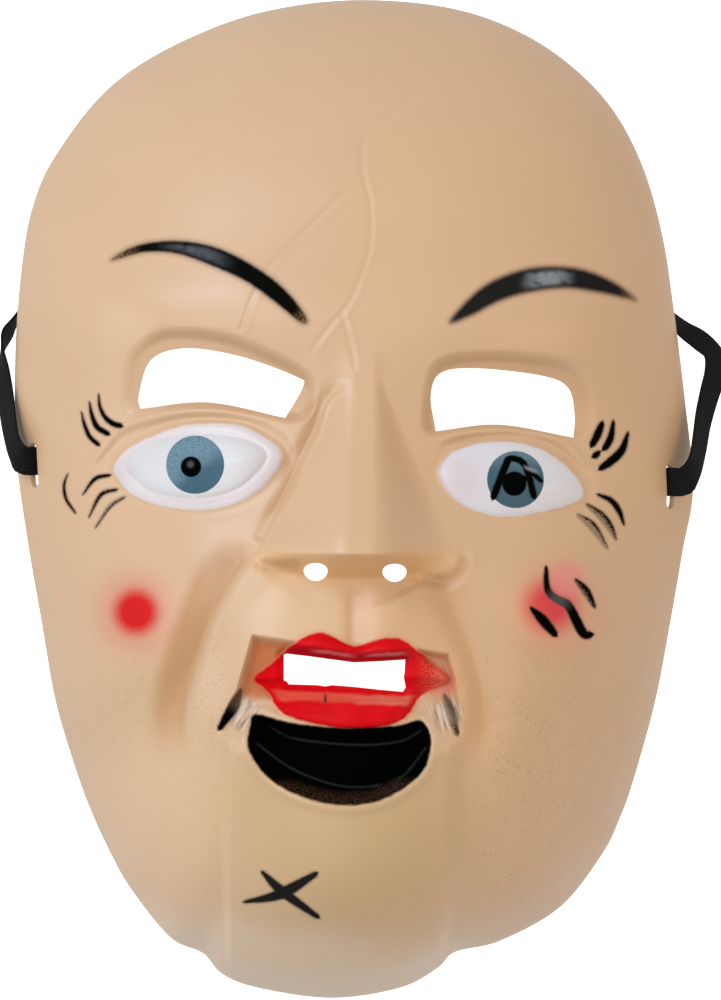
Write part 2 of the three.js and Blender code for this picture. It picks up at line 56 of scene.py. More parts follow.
# %% [markdown]
# ## The camera
# The photograph is a long-lens view straight at the face. A camera four metres above the mask with a lens
# to match gives the same flat view. Its frame is 1000 pixels high, and the sensor is 36 mm.
# %% Camera
CAMERA_HEIGHT = 4.0
PIXEL_SIZE = 0.0002455
FRAME_PIXELS = 1000
SENSOR = 36.0
camera_data = bpy.data.cameras.new("photo_camera")
camera_data.sensor_width = SENSOR
camera_data.lens = SENSOR * CAMERA_HEIGHT / (PIXEL_SIZE * FRAME_PIXELS)
camera = bpy.data.objects.new("photo_camera", camera_data)
camera.location = (0.0016, -0.00025, CAMERA_HEIGHT)
bpy.context.scene.collection.objects.link(camera)
bpy.context.scene.camera = camera
print("lens in mm:", round(camera_data.lens, 1))


# %% [markdown]
# ## Smooth lines through points
# The strap's route, the rim, the painted outlines and the cracks are all a few points with a smooth line
# through them. A Catmull-Rom line passes through each point, so the points are real places on the mask.
# %% Smooth lines
def smooth_line(points, steps=8):
    """A smooth line through the points, with so many steps from each to the next."""
    given = np.array(points, float)
    before, after = [2 * given[0] - given[1]], [2 * given[-1] - given[-2]]
    p = np.vstack([before, given, after])
    line = []
    for a, b, c, d in zip(p[:-3], p[1:-2], p[2:-1], p[3:]):
        for t in np.arange(steps) / steps:
            bend = (2 * a - 5 * b + 4 * c - d) * t**2 + (3 * b - a - 3 * c + d) * t**3
            line.append(0.5 * (2 * b + (c - a) * t + bend))
    return np.array(line + [given[-1]])


def smooth_ring(points, steps=8):
    """The same for a closed outline."""
    p = np.array(points, float)
    turned = smooth_line(np.vstack([p[-2:], p, p[:2]]), steps)
    return turned[2 * steps : (len(p) + 2) * steps]


# %% [markdown]
# ## The elastic strap
# The strap is a woven elastic band 7 mm wide. Each end comes out of a slot at the temple, runs back over
# the edge of the mask and goes under it, where it lies on the floor inside the rim. A flat band can be a
# swept curve or a sheet. A sheet rolled into a flat tube keeps a clean measure across and along the band
# for the weave, so that is the way here. Each line of the route is a place on the middle line in metres,
# then the way the width points there. Under the forehead the band stands on its edge, at one height all the
# way.
# %% Strap route
STRAP_WIDTH = 0.007
STRAP_THICKNESS = 0.0009
UNDER_FOREHEAD = [
    (-0.0776, 0.0525), (-0.0725, 0.0610), (-0.0655, 0.0705), (-0.0570, 0.0795), (-0.0470, 0.0875),
    (-0.0360, 0.0938), (-0.0245, 0.0980), (-0.0125, 0.1006), (0.0000, 0.1014), (0.0125, 0.1004),
    (0.0250, 0.0974), (0.0375, 0.0920), (0.0485, 0.0842), (0.0580, 0.0750), (0.0655, 0.0655),
    (0.0710, 0.0560),
]
STRAP_ROUTE = [
    (-0.0733, 0.0091, 0.0170, 0, 1, 0),
    (-0.0775, 0.0093, 0.0196, 0, 1, 0),
    (-0.0809, 0.0096, 0.0215, 0.05, 1, 0.1),
    (-0.0831, 0.0130, 0.0194, 0.3, 0.8, 0.5),
    (-0.0843, 0.0185, 0.0156, 0.45, 0.59, 0.66),
    (-0.0852, 0.0245, 0.0116, 0.5, 0.5, 0.7),
    (-0.0861, 0.0305, 0.0080, 0.45, 0.3, 0.84),
    (-0.0863, 0.0360, 0.0052, 0.05, 0.05, 1),
    (-0.0848, 0.0410, 0.0041, -0.5, -0.35, 0.78),
    (-0.0817, 0.0460, 0.0040, -0.3, -0.25, 0.92),
    *[(x, y, 0.0039, 0, 0, 1) for x, y in UNDER_FOREHEAD],
    (0.0754, 0.0478, 0.0039, -0.1, -0.1, 1),
    (0.0802, 0.0422, 0.0040, -0.35, -0.4, 0.85),
    (0.0850, 0.0388, 0.0042, -0.46, -0.53, 0.71),
    (0.0884, 0.0352, 0.0052, -0.75, 0, 0.65),
    (0.0884, 0.0306, 0.0074, -0.7, 0.25, 0.67),
    (0.0869, 0.0253, 0.0106, -0.6, 0.4, 0.69),
    (0.0854, 0.0193, 0.0141, -0.5, 0.55, 0.66),
    (0.0844, 0.0133, 0.0181, -0.45, 0.59, 0.66),
    (0.0831, 0.0078, 0.0222, -0.3, 0.85, 0.45),
    (0.0806, 0.0044, 0.0242, -0.05, 1, 0.1),
    (0.0770, 0.0042, 0.0221, 0, 1, 0),
    (0.0730, 0.0041, 0.0195, 0, 1, 0),
]


def unit(vectors):
    return vectors / np.linalg.norm(vectors, axis=-1, keepdims=True)


dense = smooth_line(STRAP_ROUTE, steps=16)
strides = np.linalg.norm(np.diff(dense[:, :3], axis=0), axis=1)
walked = np.append(0, np.cumsum(strides))
STRAP_LENGTH = walked[-1]
print("strap length in mm:", round(STRAP_LENGTH * 1000, 1))


# %% Roll a sheet into the band and lay it on its route
STRAP_STEPS = 320
SECTION_POINTS = 28
# below 1, this makes the round section flat with rounded corners
FLATNESS = 0.55


def new_piece(name, bm):
    mesh = bpy.data.meshes.new(name)
    bm.to_mesh(mesh)
    bm.free()
    mesh.shade_smooth()
    piece = bpy.data.objects.new(name, mesh)
    bpy.context.scene.collection.objects.link(piece)
    return piece


def on_route(at):
    """The place and the way of the width, at distances walked along the route."""
    return np.stack([np.interp(at, walked, column) for column in dense.T], 1)


def flattened(wave):
    return np.sign(wave) * np.abs(wave) ** FLATNESS


def band(name):
    bm = bmesh.new()
    weave = bm.verts.layers.float_vector.new("weave")
    bmesh.ops.create_grid(bm, x_segments=SECTION_POINTS, y_segments=STRAP_STEPS, size=1)
    bm.verts.ensure_lookup_table()
    sheet = np.array([v.co for v in bm.verts])
    at = (sheet[:, 1] + 1) / 2 * STRAP_LENGTH
    line = on_route(at)
    step = STRAP_LENGTH / 400
    along = unit(on_route(at + step)[:, :3] - on_route(at - step)[:, :3])
    wide = line[:, 3:]
    wide = unit(wide - along * (wide * along).sum(1, keepdims=True))
    thick = np.cross(along, wide)
    turn = np.pi * sheet[:, 0]
    across = flattened(np.cos(turn)) * STRAP_WIDTH / 2
    up = flattened(np.sin(turn)) * STRAP_THICKNESS / 2
    place = line[:, :3] + wide * across[:, None] + thick * up[:, None]
    for vertex, point, u, v in zip(bm.verts, place, across * 1000, at * 1000):
        vertex.co = point
        vertex[weave] = (u, v, 0)
    bmesh.ops.remove_doubles(bm, verts=bm.verts, dist=1e-6)
    bmesh.ops.holes_fill(bm, edges=[e for e in bm.edges if e.is_boundary], sides=0)
    bmesh.ops.recalc_face_normals(bm, faces=bm.faces)
    return new_piece(name, bm)


strap = band("woven_strap")
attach(strap, "root")
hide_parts("elastic_strap")
print("strap faces:", len(strap.data.polygons))


# %% [markdown]
# ## The plain dome of the face
# The moulded shell is a height over the plane of its rim, so one function of x and y can shape it all.
# The dome comes first. At each angle it is high over the middle and falls to the rim, and three tables
# say how high the rim stands, how square the dome is and how upright its wall is at each angle.
# %% Rim and dome
DOME_HEIGHT = 66
HALF_WIDTH = 83
HALF_HEIGHT = 122.5
RIM_OUTLINE = [
    (83, 2.9), (81, 24.3), (78.3, 46.4), (75.4, 65.5), (70.2, 83.2), (61.9, 97.8), (48.9, 109.8),
    (34.2, 117.5), (18.7, 121.4), (-0.5, 122.5), (-18.2, 120.5), (-33.6, 116.1), (-50.8, 107.8),
    (-63.1, 98), (-73.9, 83.2), (-78.6, 72.2), (-81, 59.9), (-82.7, 40.3), (-83, 19.4), (-82.2, 5.9),
    (-79.3, -14), (-76.6, -29.7), (-73.2, -49.3), (-68.2, -66.5), (-64.4, -76.9), (-60.2, -86.1),
    (-55, -95.4), (-45.2, -107.6), (-37.1, -111.5), (-32.4, -116.6), (-23.6, -120), (-5.6, -122.5),
    (11.3, -120), (20.6, -115.1), (24.8, -111.2), (35.8, -108.5), (50.6, -100.2), (61, -87.1),
    (65.4, -78), (68.6, -68.9), (73.9, -49.3), (77.6, -29.7), (80.5, -12.5),
]
# the dome runs to this smoother outline, without the notches beside the chin
JAW_OUTLINE = [
    *RIM_OUTLINE[:27], (-43.2, -107.8), (-23.6, -116.9), (-2.2, -119.3), (18.7, -116.6),
    (37.1, -110.2), (51.8, -100.4), *RIM_OUTLINE[37:],
]
RIM_LIFT = {0: 13, 30: 11, 58: 0, 122: 0, 150: 11, 180: 13, 212: 7, 235: 0, 305: 0, 328: 7}
DOME_POWER = {0: 2.4, 90: 2.4, 180: 2.4, 225: 3, 250: 5, 268: 7, 290: 5, 318: 3.2}
WALL_ROUND = {0: 1.1, 45: 1.45, 90: 1.65, 135: 1.45, 180: 1.1, 225: 1.4, 268: 1.5, 318: 1.4}


def rise(value, width):
    """Eases from 0 to 1 as value goes from -width to +width."""
    t = np.clip(value / (2 * width) + 0.5, 0, 1)
    return t * t * (3 - 2 * t)


def angle_of(x, y):
    return np.degrees(np.arctan2(y, x)) % 360


def around(angle, table):
    """A value at an angle, eased between the angles of a table."""
    at = np.array([*table, 360])
    value = np.array([*table.values(), table[0]])
    i = np.clip(np.searchsorted(at, angle, side="right") - 1, 0, len(at) - 2)
    t = (angle - at[i]) / (at[i + 1] - at[i])
    return value[i] + (value[i + 1] - value[i]) * t * t * (3 - 2 * t)


def by_angle(points):
    """The angles round an outline, in order, and how far out it is at each."""
    ring = smooth_ring(points, steps=12)
    angle = angle_of(ring[:, 0], ring[:, 1])
    order = np.argsort(angle)
    return angle[order], np.hypot(ring[:, 0], ring[:, 1])[order]


rim_ring = by_angle(RIM_OUTLINE)
jaw_ring = by_angle(JAW_OUTLINE)


def dome_height(x, y):
    angle = angle_of(x, y)
    far = np.hypot(x, y)
    rim = np.interp(angle, *rim_ring, period=360)
    inward = 1 - rise(far / rim - 0.93, 0.07)
    reach = rim + (np.interp(angle, *jaw_ring, period=360) - rim) * inward
    share = np.minimum(far / reach, 1)
    lift = around(angle, RIM_LIFT)
    swell = (1 - share ** around(angle, DOME_POWER)) ** (1 / around(angle, WALL_ROUND))
    return lift + (DOME_HEIGHT - lift) * swell


print("dome over the middle in mm:", dome_height(np.array([0.1]), np.array([0.1])).round(1))


# %% [markdown]
# ## Measuring from an outline
# A step, a lip or a painted edge all start from one question: how deep inside an outline is a place?
# The answer is a distance in millimetres, below zero outside. A line asks the same of its two sides.
# To save time, a place beyond a reach isn't measured and is given the reach itself.
# %% Distances
FAR_OUTSIDE = 14.0


def to_stretch(x, y, a, b):
    """Distance to the stretch from a to b, and the share of the stretch where it is nearest."""
    dx, dy = b - a
    share = np.clip(((x - a[0]) * dx + (y - a[1]) * dy) / (dx * dx + dy * dy + 1e-12), 0, 1)
    return np.hypot(x - a[0] - share * dx, y - a[1] - share * dy), share


def depth_inside(x, y, ring):
    depth = np.full(x.shape, -float(FAR_OUTSIDE))
    low, high = ring.min(0) - FAR_OUTSIDE, ring.max(0) + FAR_OUTSIDE
    near = (x > low[0]) & (x < high[0]) & (y > low[1]) & (y < high[1])
    u, v = x[near], y[near]
    away = np.full(u.shape, FAR_OUTSIDE)
    inside = np.zeros(u.shape, bool)
    for a, b in zip(ring, np.roll(ring, -1, 0)):
        away = np.minimum(away, to_stretch(u, v, a, b)[0])
        if a[1] != b[1]:
            crosses = (a[1] > v) != (b[1] > v)
            inside ^= crosses & (u < (b[0] - a[0]) * (v - a[1]) / (b[1] - a[1]) + a[0])
    depth[near] = np.where(inside, away, -away)
    return depth


def beside_line(x, y, line, reach=30.0):
    """How far a place lies to the left of a line, seen along it, and its share of the line."""
    left = np.full(x.shape, float(reach))
    share = np.zeros(x.shape)
    low, high = line.min(0) - reach, line.max(0) + reach
    near = (x > low[0]) & (x < high[0]) & (y > low[1]) & (y < high[1])
    u, v = x[near], y[near]
    best = np.full(u.shape, np.inf)
    side, part = np.ones(u.shape), np.zeros(u.shape)
    for i, (a, b) in enumerate(zip(line[:-1], line[1:])):
        away, here = to_stretch(u, v, a, b)
        closer = away < best
        turn = (b[0] - a[0]) * (v - a[1]) - (b[1] - a[1]) * (u - a[0])
        best = np.where(closer, away, best)
        side = np.where(closer, np.sign(turn), side)
        part = np.where(closer, (i + here) / (len(line) - 1), part)
    left[near] = side * best
    share[near] = part
    return left, share


def hump(away, width):
    """1 at a place, falling off smoothly on both sides of it."""
    return np.exp(-((away / width) ** 2))


def swelling(deep, slope_width):
    """Rises from an edge into a round swelling, flat from slope_width inwards."""
    return 1 - np.clip(1 - deep / slope_width, 0, 1) ** 2


# %% [markdown]
# ## The moulded face
# The sculptor of the mould built a wedge of a nose, hollows for the eyes, bulging eyeballs, creases
# beside the muzzle, a sunk frame for the mouth and a raised chin block. Each is a swelling or a step added
# to the dome. The steps here are as crisp as the mould's, where the plain solids have them rounder.
# %% Soft swellings and the nose
MOUNDS = {
    "muzzle": (9, -2, -52, 36, 36),
    "chin": (6, -3, -97, 24, 15),
    "left brow": (3, -30, 47, 22, 9),
    "right brow": (3, 33, 43, 22, 9),
    "left eye hollow": (-5, -34, 18, 24, 15),
    "right eye hollow": (-5, 37, 14, 24, 15),
    "left cheek": (3, -48, -22, 17, 18),
    "right cheek": (3, 50, -24, 17, 18),
    "left wing of the nose": (1.5, -18.5, -11, 4.5, 4),
    "right wing of the nose": (1.8, 21, -12, 4.5, 4.5),
}
NOSE_ROOT, NOSE_TIP, NOSE_UNDER = 29, -13, -16.3


def mound_height(x, y):
    height = 0
    for high, middle_x, middle_y, wide, tall in MOUNDS.values():
        u, v = (x - middle_x) / wide, (y - middle_y) / tall
        height = height + high * np.exp(-0.5 * (u * u + v * v))
    return height


def nose_height(x, y):
    down = np.clip((NOSE_ROOT - y) / (NOSE_ROOT - NOSE_TIP), 0, 1)
    foot = 5.5 + 18.5 * down
    # the left flank is round up to the ridge, and the right one has an edge there
    on_left = x < 1.5 - 1.2 * down
    flat = np.where(on_left, 1, 3.4 + 0.8 * down)
    side = np.clip((foot - np.abs(x - 1.5 + 1.2 * down)) / (foot - flat), 0, 1)
    eased = side * side * (3 - 2 * side)
    slope = np.where(on_left, 0.5 * eased + 0.5 * (1 - (1 - side) ** 2), 0.85 * eased + 0.15 * side)
    # the foot of the nose bows up to its wings
    under = NOSE_UNDER + 0.004 * (x - 0.5) ** 2
    ends = rise(y - under, 3.5) * rise(NOSE_ROOT + 4 - y, 6)
    return (1 + 17.5 * (1.12 * down - 0.12 * down**6)) * slope * ends


# %% Eyes
SOCKETS = [
    [
        (-54.1, 21.0), (-54.8, 28.9), (-52.8, 35.6), (-45.7, 40.0), (-32.4, 39.2), (-22.2, 35.5),
        (-13.0, 30.7), (-10.1, 25.9), (-13.0, 19.7), (-22.2, 20.9), (-33.6, 22.6), (-44.6, 22.4),
    ],
    [
        (17.9, 16.7), (18.4, 27.6), (21.8, 33.1), (32.9, 34.6), (45.1, 33.7), (53.6, 31.3),
        (56.9, 24.0), (55.4, 15.8), (45.1, 16.4), (35.4, 17.6), (25.7, 17.2),
    ],
]
EYE_WHITES = [
    [
        (-58.2, 7.8), (-57.4, 5.2), (-53.7, 1.0), (-45.9, -1.9), (-37, -2.7), (-29.1, -1.4), (-22.3, 2.5),
        (-17.9, 7.8), (-17.6, 11.8), (-22.3, 15.4), (-27.5, 17.8), (-34.4, 18.3), (-42.2, 17.5),
        (-50.1, 14.6), (-55.8, 11.4),
    ],
    [
        (20.6, 6.1), (23.2, 1.0), (28.7, -2.7), (36.1, -4.3), (44.4, -3.4), (51.9, -1.5), (55.3, 0.3),
        (55.4, 2.7), (53.9, 5.3), (50.2, 9), (44.4, 12.4), (37, 13.8), (29.6, 13.3), (23.2, 10.7),
    ],
]
# only the left eyeball is set off from the rim of its white
EYEBALL = [
    (-55.7, 8.7), (-51.9, 3.6), (-47.0, 1.2), (-37.2, 0.2), (-27.5, 2.9), (-21.2, 9.9),
    (-25.1, 14.0), (-34.8, 15.7), (-45.3, 15.0), (-51.9, 12.6),
]
LID_FOLDS = [
    [(-62.5, 6.8), (-60.7, 10), (-54.8, 16), (-41.6, 19.3), (-30.5, 19.2), (-19.5, 16.6)],
    [(20, 12.2), (25.2, 14), (33.2, 15.3), (42.1, 15), (49.4, 12.6), (54.3, 7.8), (59.5, 3.9)],
]
socket_rings = [smooth_ring(points) for points in SOCKETS]
white_rings = [smooth_ring(points) for points in EYE_WHITES]
eyeball_ring = smooth_ring(EYEBALL)
lid_lines = [smooth_line(points) for points in LID_FOLDS]


def eye_height(x, y):
    height = np.zeros(x.shape)
    # the sockets run out towards the temples
    run_out = 1 - 0.6 * rise(np.abs(x - 1) - 50, 6)
    for ring in socket_rings:
        height -= 3.1 * run_out * rise(depth_inside(x, y, ring), 1.8)
    left_white, right_white = [depth_inside(x, y, ring) for ring in white_rings]
    eyeball = depth_inside(x, y, eyeball_ring)
    for deep in (left_white, right_white):
        height += 0.5 * rise(deep, 0.9) - (0.2 + 0.5 * rise(y - 7, 5)) * hump(deep + 1.5, 1.4)
    height += 1.1 * swelling(left_white, 5) + 2.4 * swelling(eyeball, 10)
    height += 0.08 * hump(eyeball + 0.5, 0.6) - 0.25 * hump(eyeball + 0.2, 0.6)
    height += 3.3 * swelling(right_white, 11)
    for line in lid_lines:
        left, share = beside_line(x, y, line)
        fade = rise(share - 0.08, 0.08) * rise(0.9 - share, 0.1)
        height += fade * (0.45 * hump(left - 1.8, 1.1) - 0.4 * hump(left, 0.8))
    return height


# %% Creases and mouth
# Each has the side that stands proud, the width of its slope, and points on its line.
CREASES = [
    (1, 1.6, [
        (-23, -11.8), (-28.7, -19.6), (-33, -28), (-35.7, -35.5), (-38.3, -43), (-39.8, -49),
        (-40.3, -57), (-39, -68),
    ]),
    (-1, 3.2, [
        (17.5, -18.5), (19.4, -22.5), (22.8, -29.3), (26.3, -36.9), (28, -42.6), (28.9, -46.5),
        (29.3, -53), (28.6, -60), (27, -70),
    ]),
]
MOUTH_FRAME = [
    (-24.1, -33.4), (-13.6, -35), (1, -36.4), (15.4, -36.7), (22.5, -37.9), (24, -43.4), (25.8, -55.9),
    (15.9, -62.9), (-2.1, -66.6), (-20.2, -63), (-32.6, -56), (-27.7, -46.2),
]
LIPS = [
    (-24, -43.4), (-20.5, -40.3), (-13.7, -34.4), (-9, -32.3), (-5.7, -32.9), (0, -35.5), (5.8, -33.9),
    (8.7, -33.6), (12.1, -34.2), (17.9, -38.8), (22.9, -43.9), (16.2, -47.3), (12.3, -52.7), (5.1, -55.1),
    (-4.3, -55), (-16.6, -52), (-20.7, -46.5),
]
OPEN_MOUTH = [
    (-23.6, -51.9), (-15.6, -53.8), (-3.3, -55.1), (10.2, -54.6), (16.2, -53.4), (18.7, -58.3),
    (16.2, -66.3), (6.3, -72.7), (-6.1, -73.5), (-18.5, -68.9), (-25.2, -61.1), (-25, -54.3),
]
MOUTH_SLOT = [
    (-16.9, -37.6), (-16.2, -37.3), (-10.9, -37.9), (0, -39.4), (6.3, -39.1), (12.4, -38.7), (12.2, -42),
    (12, -42.9), (12.5, -45.5), (11.8, -46.5), (6.3, -46), (0, -45.3), (-5.2, -44.9), (-6.9, -45.2),
    (-8.6, -44.9), (-15.7, -44.7), (-16.2, -44), (-16.9, -43.7),
]
LEDGES = [
    [
        (-20.5, -54.8), (-15.7, -57.4), (-8.6, -58.6), (1, -59.3), (8.2, -58.9), (12.8, -57.9),
        (16.4, -55.6),
    ],
    [
        (-24.4, -58.2), (-15.6, -64.7), (-6.2, -68.5), (1, -69.5), (8.2, -68.5), (12.8, -65.9),
        (17.4, -59.8),
    ],
]
ledge_lines = [smooth_line(points, steps=4) for points in LEDGES]
crease_lines = [(side, soft, smooth_line(points)) for side, soft, points in CREASES]
frame_ring = np.array(MOUTH_FRAME)
lip_ring = smooth_ring(LIPS, steps=4)
open_ring = smooth_ring(OPEN_MOUTH, steps=4)
slot_ring = np.array(MOUTH_SLOT)


def crease_height(x, y):
    height = np.zeros(x.shape)
    for side, soft, line in crease_lines:
        left, share = beside_line(x, y, line, reach=60)
        inside = left * side
        fade = rise(share - 0.04, 0.04) * rise(0.86 - share, 0.14)
        proud = 1.3 * rise(inside, soft) * hump(np.maximum(inside, 0), 15)
        valley = 1.5 * hump(np.minimum(inside + 1, 0), 4.6) * (1 - rise(inside, soft))
        height += fade * (proud - valley)
    return height


def mouth_height(x, y):
    lips = depth_inside(x, y, lip_ring)
    opened = depth_inside(x, y, open_ring)
    sunk = depth_inside(x, y, frame_ring)
    on_lips = rise(lips, 0.8)
    # the step of the frame is crisp beside the lips and hardly shows through them
    step = rise(sunk, 0.9) * (1 - on_lips) + rise(sunk - 1.5, 3.5) * on_lips
    height = -3.4 * step * rise(y + 54, 6)
    height += 3 * swelling(lips, 5) + 0.5 * rise(lips, 0.4)
    height -= 1.6 * rise(depth_inside(x, y, slot_ring) + 1.2, 1.2)
    height -= 1.3 * rise(y + 48.6, 0.6) * rise(-43.5 - y, 1) * rise(lips, 1.2)
    height += 0.6 * hump(opened + 1, 1.2) - 5.5 * rise(opened - 1.7, 1.9)
    for line in ledge_lines:
        left, share = beside_line(x, y, line)
        height += 0.7 * hump(left, 0.9) * rise(share - 0.03, 0.03) * rise(0.97 - share, 0.03)
    return height


def chin_height(x, y):
    upper = rise(y + 100, 10)
    left = rise(x + 30.9, 1.2)
    right = rise(22 + 2.4 * upper - x, 0.9 + 2.2 * upper)
    lip_groove = 1.5 * hump(x + 0.3, np.where(x < -0.3, 1.5, 3.6)) * rise(-22 - y, 2)
    return 3 * left * right * rise(-57 - y, 5) - lip_groove * rise(y + 35.5, 2)


# %% [markdown]
# ## The moulded cracks
# Fine lines run over the forehead and down beside the nose, as on a broken china doll. They are pressed
# into the plastic, not painted. Each is a shallow groove along a line that runs down the face. Its two
# walls have their own widths, and the plastic beyond the right one stands a little proud.
# %% Cracks
# Each has its depth, the width of its left wall and of its right wall, and points on its line.
CRACKS = {
    "forehead": (0.16, 0.6, 0.8, [
        (41.9, 112.4), (35.7, 111.0), (29.5, 108.3), (18.5, 100.7), (8.8, 93.3), (3.9, 89.6),
        (2.0, 85.9), (2.0, 79.7), (2.7, 76.1), (3.9, 71.2), (3.9, 62.7), (2.7, 57.3), (-0.9, 48.1),
        (-5.8, 42.0), (-12.3, 33.1),
    ]),
    "branch": (0.2, 0.5, 0.9, [
        (2.4, 76.9), (-2.2, 74.4), (-4.6, 72.4), (-13.0, 63.9), (-19.1, 58.3), (-23.9, 50.5),
        (-26.3, 44.5), (-28.0, 39.6),
    ]),
    "bridge": (0.15, 0.8, 0.7, [(-2.9, 45.7), (-2.1, 42.0), (-0.5, 36.0), (0.3, 30.7)]),
    "nose side": (0.75, 1.9, 0.7, [
        (-2.1, 27.5), (-7.0, 23.9), (-9.4, 16.7), (-13.0, 9.4), (-15.4, 2.2), (-20.2, -5.1),
        (-23.1, -11.1),
    ]),
    "left wing of the nose": (0.4, 1.1, 1.1, [(-24.5, -15.4), (-18, -16.2), (-10.5, -15.2)]),
    "right wing of the nose": (0.5, 1.3, 1.4, [
        (25.7, -10.2), (26.5, -14.6), (25.2, -18.2), (21.8, -20), (17.2, -18.9), (13.4, -17.4),
    ]),
}
# painted shade lies along these, shifted to the right of the line by so many millimetres
FOLDS = {"nose side": -1.7, "left wing of the nose": 0, "right wing of the nose": 0}
crack_lines = {name: (*shape, smooth_line(points)) for name, (*shape, points) in CRACKS.items()}


def crack_height(x, y):
    height = np.zeros(x.shape)
    for deep, left_wall, right_wall, line in crack_lines.values():
        # the lines run down the face, so what is on their left is to the right
        right, share = beside_line(x, y, line, reach=9)
        fade = rise(share - 0.08, 0.08) * rise(0.97 - share, 0.03)
        groove = hump(right, np.where(right > 0, right_wall, left_wall))
        height += fade * deep * (0.5 * hump(right - right_wall * 1.8, right_wall * 0.8) - groove)
    return height


def rim_share(x, y):
    """How far out a place is, as a share of the way from the middle to the rim."""
    return np.hypot(x, y) / np.interp(angle_of(x, y), *rim_ring, period=360)


def face_height(x, y):
    relief = mound_height(x, y) + nose_height(x, y) + eye_height(x, y) + crease_height(x, y)
    relief = relief + mouth_height(x, y) + chin_height(x, y) + crack_height(x, y)
    # the relief fades out just before the rim
    return dome_height(x, y) + relief * rise(0.97 - rim_share(x, y), 0.03)


tip = face_height(np.array([0.3]), np.array([-13.0]))
print("tip of the nose in mm:", tip.round(1))

# %% [markdown]
# ## The painted lines
# The eyebrows were sprayed through a mask, and the lashes, stitches and cracks of the pupil were drawn with
# a brush. They are listed here because the mesh is made finer along them, as along the moulded cracks.
# %% Outlines of the eyebrows
EYEBROWS = [
    [
        (-58.9, 58.0), (-53.4, 61.3), (-45.4, 62.6), (-37.0, 61.9), (-29.5, 59.3), (-21.7, 54.7),
        (-15.9, 49.8), (-11.4, 43.7), (-12.8, 42.6), (-19.1, 47.6), (-26.3, 52.7), (-34.8, 56.6),
        (-42.7, 59.4), (-50.7, 59.9),
    ],
    [
        (23.2, 42.8), (28.6, 49.1), (34.2, 53.0), (41.9, 55.7), (49.8, 56.3), (56.5, 55.4),
        (63.3, 52.6), (68.4, 48.8), (66.7, 48.8), (59.3, 50.3), (50.9, 51.2), (42.4, 50.1),
        (35.1, 47.9), (28.6, 44.5),
    ],
]

